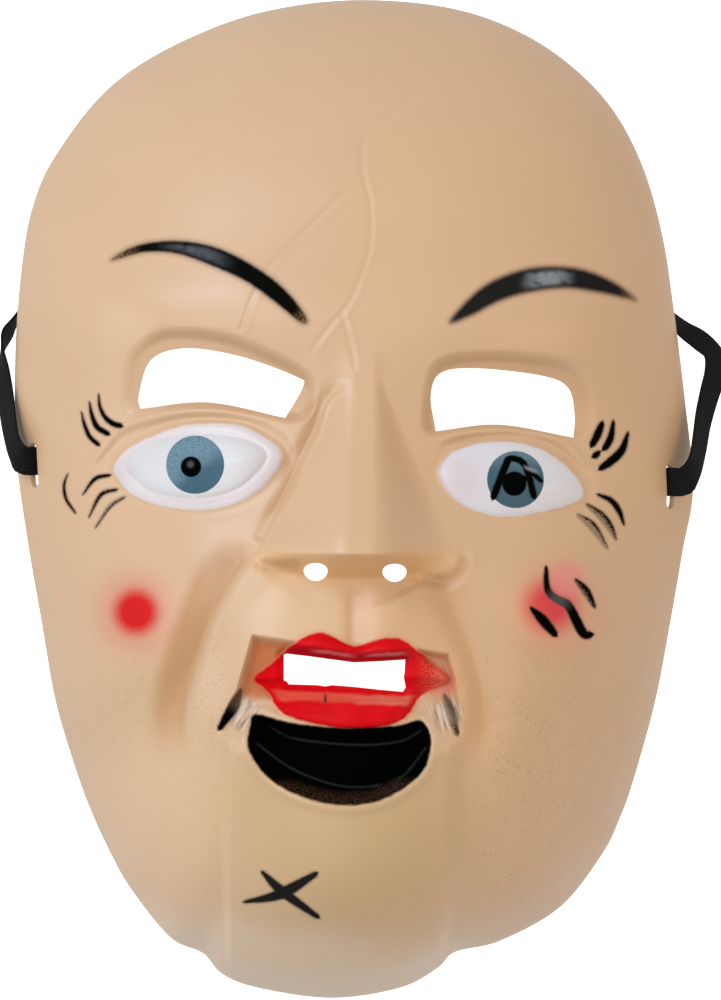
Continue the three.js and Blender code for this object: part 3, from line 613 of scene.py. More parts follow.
# %% Lines of the brush strokes
# Each stroke has the strength of its ink, and points on its middle line: x, y and half its width.
STROKES = {
    "left upper lash 1": (1.0, [
        (-62, 25.5, 0.15), (-61.8, 22.8, 0.35), (-60.7, 20.2, 0.5), (-58.7, 18.4, 0.65),
        (-56.5, 17.7, 0.6),
    ]),
    "left upper lash 2": (1.0, [
        (-64.3, 23.6, 0.15), (-63.7, 20.4, 0.45), (-62.4, 17.5, 0.65), (-59.7, 15.8, 0.6),
    ]),
    "left upper lash 3": (1.0, [
        (-66.3, 21.2, 0.1), (-65.5, 18, 0.4), (-64.2, 15.1, 0.5), (-62.1, 13.2, 0.5),
    ]),
    "left lower lash 1": (0.9, [
        (-69.7, 6.1, 0.1), (-70.6, 3.4, 0.3), (-70.1, 0, 0.35), (-67.8, -3.4, 0.2),
    ]),
    "left lower lash 2": (0.9, [(-59.3, 5.8, 0.35), (-62.9, 4.9, 0.45), (-66, 1, 0.1)]),
    "left lower lash 3": (0.7, [(-57.6, 2.3, 0.35), (-61.5, 1, 0.45), (-64.5, -4.6, 0.1)]),
    "left lower lash 4": (0.55, [(-55.6, 0.5, 0.25), (-59.1, -1.7, 0.4), (-62.9, -7.1, 0.1)]),
    "right upper lash 1": (1.0, [(60.3, 18.4, 0.65), (59.2, 15.6, 0.95), (57.8, 13, 0.7)]),
    "right upper lash 2": (1.0, [
        (63.1, 18.9, 0.35), (62.5, 15.2, 0.8), (61.4, 12.9, 0.8), (60.6, 12, 0.5),
    ]),
    "foot of that lash": (1.0, [(59.6, 11.4, 0.5), (58.7, 10.6, 0.8), (58.2, 10.3, 0.6)]),
    "right upper lash 3": (1.0, [
        (66.7, 16.1, 0.35), (65.2, 11.9, 0.9), (62.5, 9.2, 1), (59.9, 7.4, 0.7),
    ]),
    "right lower lash 1": (0.8, [
        (59.2, 1.1, 0.3), (62.5, -0.4, 0.65), (64.5, -3, 0.65), (65.7, -6.3, 0.2),
    ]),
    "right lower lash 2": (0.5, [
        (56.5, -1.3, 0.3), (60, -4, 0.9), (62.3, -6.9, 0.8), (63.7, -9.9, 0.2),
    ]),
    "right lower lash 3": (0.35, [(54.4, -3.9, 0.35), (58, -6.7, 0.95), (61.5, -11.9, 0.25)]),
    "cheek stitch": (0.95, [
        (46.5, -16.5, 0.4), (46.6, -20.7, 0.7), (47.4, -22.9, 0.8), (49.4, -24.4, 0.85),
        (51.8, -25.7, 1), (53.8, -29.3, 1.15), (54.9, -31.5, 1.15), (56, -32.9, 1), (57.5, -32.9, 0.8),
    ]),
    "stitch end above": (0.65, [(53.8, -19.6, 0.4), (56.3, -22.4, 0.95), (58.4, -26.2, 0.4)]),
    "stitch end below": (1.0, [(42.8, -26.3, 0.4), (45.6, -29.2, 1.2), (48.7, -32.8, 0.8)]),
    "left mouth corner": (0.9, [(-27.3, -46, 0.3), (-29, -50, 1.3), (-32.4, -55.4, 0.6)]),
    "right mouth corner": (0.6, [(21.9, -47.5, 0.5), (23.5, -51.7, 1.1), (24.9, -56.7, 0.5)]),
    "nick in the lower lip": (0.8, [(-6.9, -47.2, 0.1), (-6.9, -48.9, 0.2)]),
    "chin cross down": (1.0, [(-22.1, -90.1, 0.4), (-17.4, -94.7, 1.15), (-8.7, -101, 0.6)]),
    "chin cross up": (1.0, [
        (-26.6, -97.6, 0.3), (-20, -96.2, 1.05), (-15.7, -94.4, 1.3), (-9.1, -90.3, 0.6),
    ]),
    "pupil crack left": (1.0, [(37.4, 9.8, 0.95), (35.6, 5.4, 0.95), (33.7, 0.4, 0.95)]),
    "pupil crack middle": (1.0, [
        (37.9, 9.9, 0.85), (40.2, 9.3, 0.85), (41.8, 7.2, 0.85), (43.6, 0.6, 0.9),
    ]),
    "pupil crack across": (1.0, [(36.3, 5.2, 0.7), (39, 5.3, 0.8), (42.2, 4.8, 0.7)]),
    "pupil crack right": (1.0, [(41.6, 7.1, 0.6), (43.6, 5.9, 0.7), (45.4, 4.3, 0.55)]),
}

# %% [markdown]
# ## A sheet of mesh laid over the face
# A flat grid is made with an operator, and its square is carried onto the outline of the face. Near the
# edge its lines follow the rim, so the rim comes out clean. Every vertex remembers where on the face it
# belongs, so that new vertices made by splitting can be put on the true surface as well.
# %% Outer and inner sheets
WALL = 1.4
# the outer fifth of the face falls steeply to the rim, so its rings crowd together
STEEP_EDGE = 0.2


def on_face(across, up):
    """Carries a place on the square sheet to the outline of the face."""
    edge = np.maximum(np.abs(across), np.abs(up))
    round_x = across * np.sqrt(1 - up**2 / 2)
    round_y = up * np.sqrt(1 - across**2 / 2)
    even = rise(edge - 0.75, 0.25)
    share = np.hypot(round_x, round_y) * (1 - even) + edge * even
    steep = share > 1 - STEEP_EDGE
    share = np.where(steep, 1 - STEEP_EDGE * ((1 - share) / STEEP_EDGE) ** 1.5, share)
    x, y = HALF_WIDTH * round_x, HALF_HEIGHT * round_y
    reach = share / np.maximum(rim_share(x, y), 1e-9)
    return x * reach, y * reach


def slopes(height, x, y, reach=1.5):
    across = (height(x + reach, y) - height(x - reach, y)) / (2 * reach)
    up = (height(x, y + reach) - height(x, y - reach)) / (2 * reach)
    return across, up


def placed(x, y, inner):
    """A place on the outside of the face, or a wall's thickness inside it."""
    on_rim = rim_share(x, y) > 0.9999
    z = np.where(on_rim, around(angle_of(x, y), RIM_LIFT), face_height(x, y))
    place = np.stack([x, y, z], 1)
    if inner:
        across, up = slopes(face_height, x, y)
        out = np.stack([-across, -up, np.ones(x.shape)], 1)
        level = slopes(rim_share, x, y)
        out[on_rim] = np.stack([level[0], level[1], np.zeros(x.shape)], 1)[on_rim]
        place -= WALL * unit(out)
    return place


def move_to_face(bm, where, inner):
    spots = np.array([vertex[where] for vertex in bm.verts], float)
    for vertex, point in zip(bm.verts, placed(spots[:, 0], spots[:, 1], inner)):
        vertex.co = point


def face_sheet(columns, rows, inner):
    bm = bmesh.new()
    where = bm.verts.layers.float_vector.new("where")
    bmesh.ops.create_grid(bm, x_segments=columns, y_segments=rows, size=1)
    flat = np.array([vertex.co for vertex in bm.verts], float)
    for vertex, x, y in zip(bm.verts, *on_face(flat[:, 0], flat[:, 1])):
        vertex[where] = (x, y, 0)
    move_to_face(bm, where, inner)
    return bm, where


# %% [markdown]
# ## Finer where the face bends
# An even grid wastes its faces on the smooth forehead and is too coarse at an eyelid. So each face whose
# edges leave the true surface by more than a tolerance is split into four. So is each face near a painted
# line or a crack that has longer edges than it may. A few rounds of this put the mesh where it counts.
# %% Split the faces that need it
def close_to(x, y, lines, reach):
    """Whether each place lies within reach of any of the lines."""
    near = np.zeros(x.shape, bool)
    for line in lines:
        low, high = line[:, :2].min(0) - reach, line[:, :2].max(0) + reach
        box = (x > low[0]) & (x < high[0]) & (y > low[1]) & (y < high[1])
        spots = np.stack([x[box], y[box]], 1)
        gaps = np.linalg.norm(spots[:, None] - line[None, :, :2], axis=2)
        near[box] |= gaps.min(1) < reach
    return near


LINE_REACH = 2.4


def refine(bm, where, inner, tolerance, lines=(), finest=1.0):
    """Splits once every face that strays from the true surface or is too coarse near a line."""
    ends = np.array([[*edge.verts[0][where], *edge.verts[1][where]] for edge in bm.edges], float)
    points = np.array([[*edge.verts[0].co, *edge.verts[1].co] for edge in bm.edges], float)
    x, y = (ends[:, 0] + ends[:, 3]) / 2, (ends[:, 1] + ends[:, 4]) / 2
    middle = (points[:, :3] + points[:, 3:]) / 2
    length = np.linalg.norm(points[:, :3] - points[:, 3:], axis=1)
    level = np.linalg.norm(points[:, :2] - points[:, 3:5], axis=1) / length
    stray = np.linalg.norm(placed(x, y, inner) - middle, axis=1) * level > tolerance
    stray |= close_to(x, y, lines, LINE_REACH) & (length > finest)
    at_rim = {vertex for edge in bm.edges if edge.is_boundary for vertex in edge.verts}
    strayed = [edge for edge, needed in zip(bm.edges, stray) if needed]
    faces = {face for edge in strayed for face in edge.link_faces}
    faces = [face for face in faces if not at_rim.intersection(face.verts)]
    edges = list({edge for face in faces for edge in face.edges})
    # a neighbour that shares only some of the split edges is cut from their middles to its corners
    bmesh.ops.subdivide_edges(
        bm, edges=edges, cuts=1, use_grid_fill=True, use_single_edge=True, quad_corner_type="INNER_VERT"
    )
    move_to_face(bm, where, inner)


painted_lines = [smooth_ring(points) for points in EYEBROWS]
painted_lines += [smooth_line(points, steps=6) for _, points in STROKES.values()]
outer, outer_where = face_sheet(124, 184, inner=False)
crack_paths = [shape[3] for shape in crack_lines.values()]
# each round: how far an edge may stray, the lines it is finer along, and the longest edge there
ROUNDS = [(0.05, painted_lines + crack_paths, 0.9), (0.045, crack_paths, 0.5), (0.06, [], 1)]
for tolerance, lines, finest in ROUNDS:
    refine(outer, outer_where, False, tolerance, lines, finest)
    print("outer faces:", len(outer.faces))
inner, inner_where = face_sheet(62, 92, inner=True)
for tolerance in (0.2, 0.2):
    refine(inner, inner_where, True, tolerance)
print("inner faces:", len(inner.faces))

# %% [markdown]
# ## The wall between the two sheets
# The inside of the mask is plain, so its sheet is coarser. Its rim edges are split once to match the outer
# ones, and bridge_loops joins the two rims with the flat edge of the wall. Painted faces keep material 0.
# The inside, the rim and the cut edges are bare plastic, material 1.
# %% Join the sheets at the rim
bmesh.ops.reverse_faces(inner, faces=inner.faces)
rim_edges = [edge for edge in inner.edges if edge.is_boundary]
bmesh.ops.subdivide_edges(inner, edges=rim_edges, cuts=1)
for face in inner.faces:
    face.material_index = 1
lining = bpy.data.meshes.new("lining")
inner.to_mesh(lining)
inner.free()
outer.from_mesh(lining)
bpy.data.meshes.remove(lining)
bridge = bmesh.ops.bridge_loops(outer, edges=[edge for edge in outer.edges if edge.is_boundary])
for face in bridge["faces"]:
    face.material_index = 1
bmesh.ops.triangulate(outer, faces=[face for face in outer.faces if len(face.verts) > 4])
print("rim faces:", len(bridge["faces"]), "open edges:", sum(e.is_boundary for e in outer.edges))
print("volume in cm3:", round(outer.calc_volume(signed=True) / 1000, 1))
shell = new_piece("painted_shell", outer)

# %% [markdown]
# ## Cutting the holes
# The eyes, the nostrils, the gap between the lips and the strap's slots are punched through. Each cutter
# is a flat outline made from a circle, moved to its place and extruded into a block. All of them are cut
# out in one boolean step, after which the distances for the paint can be taken at every vertex.
# %% Cutters
EYE_HOLES = [
    (
        [(-51.8, 21.9), (-35.2, 23.4), (-16.6, 19.6)],
        [
            (-16.6, 19.6), (-12.3, 27.2), (-14, 29.6), (-27.5, 34.5), (-40.7, 36.5), (-49.2, 33.7),
            (-52.2, 25.1), (-51.8, 21.9),
        ],
    ),
    (
        [(19.8, 16.4), (35.2, 18), (53.3, 14.9)],
        [
            (53.3, 14.9), (53.6, 20.2), (52.1, 26.8), (46, 29.8), (30.4, 31.6), (21.2, 30.6),
            (18.6, 25.1), (19.8, 16.4),
        ],
    ),
]
NOSTRILS = [(-9.2, -17.6), (9.8, -17.8)]
STRAP_SLOTS = [(-78.2, 8.2), (77.3, 3)]
BELOW_FACE, ABOVE_FACE = 20, 120


def cutter(bm, outline, low, high):
    """An upright block with the given outline, from low to high."""
    made = bmesh.ops.create_circle(bm, cap_ends=True, segments=len(outline), radius=1)
    for vertex, (x, y) in zip(made["verts"], outline):
        vertex.co = (x, y, low)
    face = made["verts"][0].link_faces[0]
    grown = bmesh.ops.extrude_face_region(bm, geom=[face])
    top = [item for item in grown["geom"] if isinstance(item, bmesh.types.BMVert)]
    bmesh.ops.translate(bm, verts=top, vec=(0, 0, high - low))
    return made["verts"] + top


cuts = bmesh.new()
for lower, upper in EYE_HOLES:
    outline = np.vstack([smooth_line(lower)[:-1], smooth_line(upper)[:-1]])
    cutter(cuts, outline, BELOW_FACE, ABOVE_FACE)
turn = np.linspace(0, 2 * np.pi, 32, endpoint=False)
for x, y in NOSTRILS:
    # wider above than below
    half = 2.9 + 0.35 * np.sin(turn)
    outline = np.stack([x + half * np.cos(turn), y + 2.2 * np.sin(turn)], 1)
    cutter(cuts, outline, BELOW_FACE, ABOVE_FACE)
cutter(cuts, slot_ring, BELOW_FACE, ABOVE_FACE)
print("cutter faces so far:", len(cuts.faces))

# %% Slots for the strap, square to the sloping wall
SLOT_LENGTH, SLOT_WIDTH = 11, 3.4


def rounded_slot(length, width):
    end = np.linspace(0, np.pi, 9)
    half = np.stack([width / 2 * np.cos(end), (length - width) / 2 + width / 2 * np.sin(end)], 1)
    return np.vstack([half, -half])


for x, y in STRAP_SLOTS:
    at = np.array([x]), np.array([y])
    tilt = slopes(face_height, *at)[0][0]
    block = cutter(cuts, rounded_slot(SLOT_LENGTH, SLOT_WIDTH), -6, 6)
    out = unit(np.array([-tilt, 0, 1]))
    level = np.array([out[2], 0, -out[0]])
    up_face = np.array([0, 1, 0])
    middle = np.array([x, y, face_height(*at)[0]])
    for vertex in block:
        u, v, w = vertex.co
        vertex.co = middle + u * level + v * up_face + w * out
bmesh.ops.recalc_face_normals(cuts, faces=cuts.faces)
for face in cuts.faces:
    face.material_index = 1
punch = new_piece("punch", cuts)


# %% Punch the holes
def applied(piece):
    """Keeps what the piece's modifiers make as its own mesh."""
    graph = bpy.context.evaluated_depsgraph_get()
    made = bpy.data.meshes.new_from_object(piece.evaluated_get(graph))
    piece.modifiers.clear()
    piece.data = made
    return made


bare_plastic = bpy.data.materials.new("unpainted_inside")
painted_plastic = bpy.data.materials.new("sprayed_face")
for piece in (shell, punch):
    piece.data.materials.append(painted_plastic)
    piece.data.materials.append(bare_plastic)
boolean = shell.modifiers.new("holes", "BOOLEAN")
boolean.operation = "DIFFERENCE"
boolean.object = punch
boolean.solver = "MANIFOLD"
skin = applied(shell)
bpy.data.objects.remove(punch)
print("shell vertices:", len(skin.vertices), "faces:", len(skin.polygons))

# %% [markdown]
# ## Shading from the true surface
# Blender guesses a smooth normal from the faces around a vertex, and where small faces meet large ones the
# guess is poor and shows as streaks. The height function knows the true slope, so the outside gets its
# normals from there. The cut edges and the inside keep Blender's own.
# %% Normals
def read_all(items, field, width=1, kind=float):
    """One field of every item, as an array with a row for each."""
    values = np.empty(len(items) * width, dtype=kind)
    items.foreach_get(field, values)
    return values.reshape(-1, width).squeeze()


SHARP_ANGLE = 50
skin.set_sharp_from_angle(angle=np.radians(SHARP_ANGLE))
normals = read_all(skin.corner_normals, "vector", 3, np.float32)
vertex_of = read_all(skin.loops, "vertex_index", 1, np.int32)
sides = read_all(skin.polygons, "loop_total", 1, np.int32)
material_of = read_all(skin.polygons, "material_index", 1, np.int32)
outside = np.repeat(material_of == 0, sides)
points = read_all(skin.vertices, "co", 3)
X, Y = points[:, 0], points[:, 1]
fall = slopes(face_height, X, Y, reach=0.2)
true = unit(np.stack([-fall[0], -fall[1], np.ones(len(points))], 1))
away_from_rim = rim_share(X, Y) < 0.99
trusted = outside & away_from_rim[vertex_of]
normals[trusted] = true[vertex_of][trusted]
skin.normals_split_custom_set(normals)
print("corners with the true normal:", int(trusted.sum()), "of", len(normals))

# %% [markdown]
# ## Distances for the paint
# The paint has crisp edges that the mesh alone can't draw. So each vertex stores how deep it lies inside
# each painted outline, in millimetres, and the material turns that distance into an edge that is as
# sharp as it likes. A stroke of the brush stores three numbers: how far across it a place lies, half its
# width there, and the strength of its ink.
# %% Painted outlines
def store(name, values):
    kind = "FLOAT" if values.ndim == 1 else "FLOAT_VECTOR"
    field = "value" if values.ndim == 1 else "vector"
    layer = skin.attributes.new(name, kind, "POINT")
    layer.data.foreach_set(field, np.ascontiguousarray(values, dtype=np.float32).ravel())


PAINTED_RINGS = {
    "white_depth": white_rings,
    "eyeball_depth": [eyeball_ring],
    "brow_depth": [smooth_ring(outline) for outline in EYEBROWS],
    "socket_depth": socket_rings,
    "lip_depth": [lip_ring],
    "open_depth": [open_ring],
    "frame_depth": [frame_ring],
    "slot_depth": [slot_ring],
}
for name, rings in PAINTED_RINGS.items():
    store(name, np.max([depth_inside(X, Y, ring) for ring in rings], axis=0))
to_ledges = [beside_line(X, Y, line)[0] for line in ledge_lines]
store("ledge_depth", 1 - np.min(np.abs(to_ledges), axis=0))
# the whole face is measured from a crease: how far out from it, and 1 along it but 0 past its ends
WHOLE_FACE = 300
for name, (side, _, line) in zip(("left_crease", "right_crease"), crease_lines):
    left, share = beside_line(X, Y, line, reach=WHOLE_FACE)
    along_it = rise(share - 0.06, 0.05) * rise(0.88 - share, 0.1)
    store(name, np.stack([-left * side, along_it, np.zeros(X.shape)], 1))
to_folds = []
for name, shift in FOLDS.items():
    right, share = beside_line(X, Y, crack_lines[name][3])
    past_ends = 1 - rise(share - 0.12, 0.12) * rise(0.88 - share, 0.12)
    to_folds.append(np.abs(right - shift) + 6 * past_ends)
store("fold_depth", 1.6 - np.min(to_folds, axis=0))
print("attributes:", ", ".join(layer.name for layer in skin.attributes if "depth" in layer.name))

# %% Fields of the brush strokes
STROKE_REACH = 2.2
# two strokes share a set only if their reaches don't meet
STROKES_APART = 4.6
OFF_STROKE = (STROKE_REACH, -5.0, 0.0)


def stroke_field(x, y, stroke, strength):
    """For each place: how far left of the stroke, half the width there, and the ink's strength."""
    field = np.tile(np.array(OFF_STROKE), (len(x), 1))
    best = np.full(x.shape, STROKE_REACH)
    for i, (a, b) in enumerate(zip(stroke[:-1], stroke[1:])):
        away, share = to_stretch(x, y, a[:2], b[:2])
        dx, dy = (b - a)[:2]
        length = np.hypot(dx, dy)
        ahead = ((x - a[0]) * dx + (y - a[1]) * dy) / length
        past = np.maximum(0, ahead - length) if i == len(stroke) - 2 else 0
        past = past + (np.maximum(0, -ahead) if i == 0 else 0)
        left = (dx * (y - a[1]) - dy * (x - a[0])) / length
        half = a[2] + (b[2] - a[2]) * share - past
        closer = away < best
        best[closer] = away[closer]
        field[closer] = np.stack([left, half, np.full(x.shape, strength)], 1)[closer]
    return field, best


def smallest_gap(line, others):
    return min(np.linalg.norm(line[:, None, :2] - other[:, :2], axis=2).min() for other in others)


brushes = []
for strength, stroke_points in STROKES.values():
    line = smooth_line(stroke_points, steps=6)
    field, away = stroke_field(X, Y, line, strength)
    for brush in brushes:
        if smallest_gap(line, brush["lines"]) > STROKES_APART:
            break
    else:
        brush = {"lines": [], "field": np.tile(np.array(OFF_STROKE), (len(X), 1))}
        brushes.append(brush)
    brush["lines"].append(line)
    near = away < STROKE_REACH
    brush["field"][near] = field[near]
for i, brush in enumerate(brushes):
    store(f"brush_{i + 1}", brush["field"])
print("strokes:", len(STROKES), "in", len(brushes), "sets whose strokes never meet")

# %% [markdown]
# ## Shader sums in plain Python
# A material is a net of nodes. Here a small class stands for the output of a node and lets it be used in
# ordinary sums, so that a formula can be read. Each operator adds one Math node. Colours and vectors have
# their own nodes, because a Math node would turn a colour grey.
# %% Sums with sockets
class Tone:
    """A value in a material that can be used in sums."""

    def __init__(self, socket):
        self.socket = socket

    def join(self, operation, *others, clamp=False):
        settings = {"operation": operation, "use_clamp": clamp}
        values = dict(enumerate([self, *others]))
        return make(self.socket.id_data, "ShaderNodeMath", settings, values)

    def __add__(self, other):
        return self.join("ADD", other)

    __radd__ = __add__

    def __sub__(self, other):
        return self.join("SUBTRACT", other)

    def __rsub__(self, other):
        values = {0: other, 1: self}
        return make(self.socket.id_data, "ShaderNodeMath", {"operation": "SUBTRACT"}, values)

    def __mul__(self, other):
        return self.join("MULTIPLY", other)

    __rmul__ = __mul__

    def __abs__(self):
        return self.join("ABSOLUTE")


def make(tree, kind, settings, values, output=0):
    """Adds a node, sets it, feeds its sockets with values or tones, and gives one output as a tone."""
    node = tree.nodes.new(kind)
    for name, value in settings.items():
        setattr(node, name, value)
    for key, value in values.items():
        if isinstance(value, Tone):
            tree.links.new(value.socket, node.inputs[key])
        else:
            node.inputs[key].default_value = value
    return Tone(node.outputs[output])


def mix(factor, first, second):
    colours = {0: factor, 6: first, 7: second}
    return make(factor.socket.id_data, "ShaderNodeMix", {"data_type": "RGBA"}, colours, 2)


def painted(tone, coats):
    """Lays coats of paint over a tone, in order. Each coat has a mask and a colour."""
    for mask, coat in coats:
        tone = mix(mask, tone, coat)
    return tone


def cover(depth, soft):
    """0 outside and 1 inside an edge, over a soft width in millimetres."""
    values = {"Value": depth, "From Min": -soft, "From Max": soft}
    return make(depth.socket.id_data, "ShaderNodeMapRange", {"interpolation_type": "SMOOTHSTEP"}, values)


def noise(place, size, detail=2.0, rough=0.5):
    """A cloudy pattern around 0, with features about size millimetres wide."""
    values = {"Vector": place, "Scale": 1 / size, "Detail": detail, "Roughness": rough}
    return make(place.socket.id_data, "ShaderNodeTexNoise", {}, values) - 0.5


def colour(red, green, blue):
    """A screen colour from 0 to 255, as the shader's linear colour."""
    screen = np.array([red, green, blue]) / 255
    linear = np.where(screen < 0.04045, screen / 12.92, ((screen + 0.055) / 1.055) ** 2.4)
    return (*linear.tolist(), 1.0)


def new_tree(material):
    material.use_nodes = True
    tree = material.node_tree
    return tree, tree.nodes["Principled BSDF"]


def millimetres(tree):
    """The place on the piece, in millimetres."""
    place = make(tree, "ShaderNodeTexCoord", {}, {}, "Object")
    return make(tree, "ShaderNodeVectorMath", {"operation": "SCALE"}, {0: place, "Scale": 1000.0})


def parts(vector):
    """The three numbers of a vector."""
    tree = vector.socket.id_data
    return [make(tree, "ShaderNodeSeparateXYZ", {}, {0: vector}, i) for i in range(3)]


def feed(value, socket):
    value.socket.id_data.links.new(value.socket, socket)


def bump(height):
    """The normal of a surface with this fine relief, in millimetres."""
    values = {"Height": height, "Strength": 1.0, "Distance": 0.001}
    return make(height.socket.id_data, "ShaderNodeBump", {}, values)


# %% [markdown]
# ## The painted face
# The skin was sprayed on, so it is even with a fine grain and brown specks of overspray on the lower cheeks
# and the chin. Painted shade darkens the creases, folds, sockets, the sunk frame of the mouth, the
# underside of the nose and the chin, and painted highlights and reflections lighten a few places. Over it
# lie the sprayed blush, the white of the eyes, the masked irises, and the black and red put on with a
# brush. The material stacks them in that order, each one a colour and a mask.
# %% Skin
FLESH = (0.6, 0.392, 0.222, 1.0)
tree, shader = new_tree(painted_plastic)
place = millimetres(tree)
# how far right and how far up the face a place is
u, v, _ = parts(place)
right_half = cover(u, 1)
grain = noise(place, 0.35, 3, 0.7)
specks = noise(place, 0.45, 1)
blots = noise(place, 3)
clouds = noise(place, 26)


def measured(name, output="Fac"):
    return make(tree, "ShaderNodeAttribute", {"attribute_name": name}, {}, output)


def spot(x, y, radius, soft):
    """A round soft spot, for the sprayed blush and for painted light and shade: 1 inside the radius, fading
    out over the soft width.
    """
    flat = make(tree, "ShaderNodeCombineXYZ", {}, {0: u, 1: v})
    gap = make(tree, "ShaderNodeVectorMath", {"operation": "DISTANCE"}, {0: flat, 1: (x, y, 0)}, "Value")
    return cover(radius + soft / 2 - gap + grain * soft * 0.25, soft / 2)


def crease_shade_band(name, first, last, soft_first, soft_last):
    """A band of painted shade that runs along a crease, from first to last millimetres outside its line."""
    out, along_it, _ = parts(measured(name, "Vector"))
    return cover(out - first, soft_first) * cover(last - out + clouds * 3, soft_last) * along_it


dots = cover(specks - 0.17, 0.03) * cover(noise(place, 7) + 0.06, 0.12)
low_face = cover(-38 - v + clouds * 40, 22)
under_nose_shade = cover(3.4 - abs(v + 17.2 - u * u * 0.004), 2) * cover(22 - abs(u), 5)
chin_edge_reflection = cover(-106 - v - u * 0.12 + clouds * 12, 6)
skin_tone = mix(cover(clouds, 0.25), FLESH, (0.588, 0.382, 0.216, 1.0))
# brown specks of overspray on the lower face, then painted shade and painted highlights
skin_tone = painted(skin_tone, [
    (dots * low_face * 0.55, colour(112, 84, 60)),
    # painted shade in the valleys of the creases beside the muzzle
    (crease_shade_band("left_crease", 0.6, 8.6, 1.2, 2.2) * 0.9, (0.47, 0.245, 0.095, 1.0)),
    (crease_shade_band("right_crease", -5, 2.6, 3.5, 1.6) * 0.7, (0.58, 0.33, 0.142, 1.0)),
    # painted shade over the chin
    (spot(-3, -78, 16, 26), (0.53, 0.355, 0.178, 1.0)),
    # painted highlight on the left of the muzzle, which faces the light, and painted shade on its right
    (spot(-14, -26, 5, 12) * 0.7, (0.68, 0.47, 0.275, 1.0)),
    (spot(14, -27, 6, 12) * 0.7, (0.565, 0.33, 0.155, 1.0)),
    # painted warm shade under the nose
    (under_nose_shade * 0.8, (0.7, 0.405, 0.175, 1.0)),
    # painted highlight on the lit wall of the groove under the nose
    (spot(2.5, -27, 2, 9) * 0.7, (0.68, 0.44, 0.24, 1.0)),
    # a lighter tone on the lower left of the jaw
    (spot(-52, -82, 12, 24) * 0.6, (0.66, 0.44, 0.25, 1.0)),
    # painted shade in the folds beside the nose and at its wings
    (cover(measured("fold_depth"), 1.0) * 0.65, (0.5, 0.275, 0.125, 1.0)),
    # painted reflection of the white floor along the lower edge of the chin
    (chin_edge_reflection * 0.5, (0.66, 0.52, 0.38, 1.0)),
    # painted shade in the eye sockets
    (cover(measured("socket_depth"), 1.0) * 0.15, colour(166, 118, 76)),
])

# %% Beside the lips, and the blush
frame_depth = measured("frame_depth")
beside_lips = cover(frame_depth, 0.6) * cover(v + 48 + blots * 3, 2.5)
left_of_lips = beside_lips * cover(-8 - u, 4)
frame_floor_shade = left_of_lips * cover(frame_depth - 0.6, 0.8)
blush = spot(-52.8, -27.4, 3.0, 4.5)
skin_tone = painted(skin_tone, [
    # painted shade in the sunk frame beside the lips, darkest on its floor left of them and redder right of
    # them
    (left_of_lips * 0.5, (0.55, 0.27, 0.11, 1.0)),
    (frame_floor_shade * 0.95, (0.48, 0.152, 0.05, 1.0)),
    (beside_lips * cover(u - 12, 4) * 0.55, (0.55, 0.2, 0.09, 1.0)),
    (spot(-52.8, -27.4, 1.5, 13) * 0.5, colour(204, 52, 52)),
    (blush * 0.95, colour(201, 12, 20)),
    (spot(48.6, -26.5, 1.5, 15) * 0.45, colour(219, 110, 95)),
    (spot(47.5, -25.8, 2.4, 7), colour(208, 42, 50)),
    (spot(51.4, -19.6, 2.2, 4) * 0.8, colour(219, 134, 124)),
])


def brush_and_highlight_streaks(lean):
    """A streaky pattern, leaning to the left by an angle in degrees."""
    c, s = np.cos(np.radians(lean)), np.sin(np.radians(lean))
    streaked = {0: u * c + v * s, 1: (v * c - u * s) * 0.12}
    return noise(make(tree, "ShaderNodeCombineXYZ", {}, streaked), 0.8, 3)


for x, lean in [(-26.6, -32), (22.3, 20)]:
    mouth_corner = spot(x, -51.8, 2.2, 3)
    streaks = brush_and_highlight_streaks(lean)
    # at each corner of the mouth, pale streaks of painted highlight and dark streaks of a dry brush
    skin_tone = painted(skin_tone, [
        (mouth_corner * cover(streaks - 0.02, 0.1) * 0.55, (0.66, 0.56, 0.45, 1.0)),
        (mouth_corner * cover(-0.02 - streaks, 0.1) * 0.8, (0.2, 0.15, 0.11, 1.0)),
    ])
print("nodes of the skin:", len(tree.nodes))

# %% Painted eyes
IRISES = [(-38.4, 8.3, 6.8), (39.1, 4.7, 6.65)]
PUPILS = [(-39.4, 7.8, 2.3), (38.8, 3.7, 2.75)]
white = cover(measured("white_depth") + noise(place, 2.2) * 0.6, 0.3)
eyeball_depth = measured("eyeball_depth")
eyeball_shade = cover(1 - abs(eyeball_depth + 0.7), 1) * cover(7.5 + u * 0.15 - v, 4)
eye_corners = spot(-21.0, 5.5, 1.0, 9) + spot(-56.5, 7.0, 0.5, 5) + spot(25.0, 5.0, 1.0, 8)
white_tone = mix(right_half, colour(211, 202, 198), colour(211, 209, 212))
white_tone = painted(white_tone, [
    (cover(eyeball_depth, 1.2), colour(203, 202, 199)),
    (eyeball_shade * 0.45, colour(190, 168, 166)),
    (eye_corners * 0.5, colour(202, 184, 182)),
])
iris = spot(*IRISES[0], 0.5) + spot(*IRISES[1], 0.5)
iris = cover(iris - 0.5 + noise(place, 0.5, 2, 0.7) * 0.5, 0.35)
iris_dots = cover(noise(place, 0.38, 1, 0.7) + 0.02, 0.08)
# an iris is lighter above, and the left one is lighter to the left as well
darker_right = (u + 38) * (1 - right_half) * 0.7
iris_light = cover(v - 8.2 - right_half * 1.6 - darker_right + blots * 4, 3.5)
iris_tone = mix(iris_light, colour(62, 93, 106), colour(112, 141, 151))
iris_tone = mix(iris_dots * (iris_light + 0.15) * 0.6, iris_tone, colour(76, 106, 118))
pupil = spot(*PUPILS[0], 0.4) + spot(*PUPILS[1], 0.4)
eye_tone = painted(white_tone, [
    (iris, iris_tone),
    (pupil, colour(5, 6, 7)),
    # a painted highlight in the left pupil
    (spot(-39.5, 8.4, 0.1, 1.2) * 0.5, colour(104, 106, 106)),
])

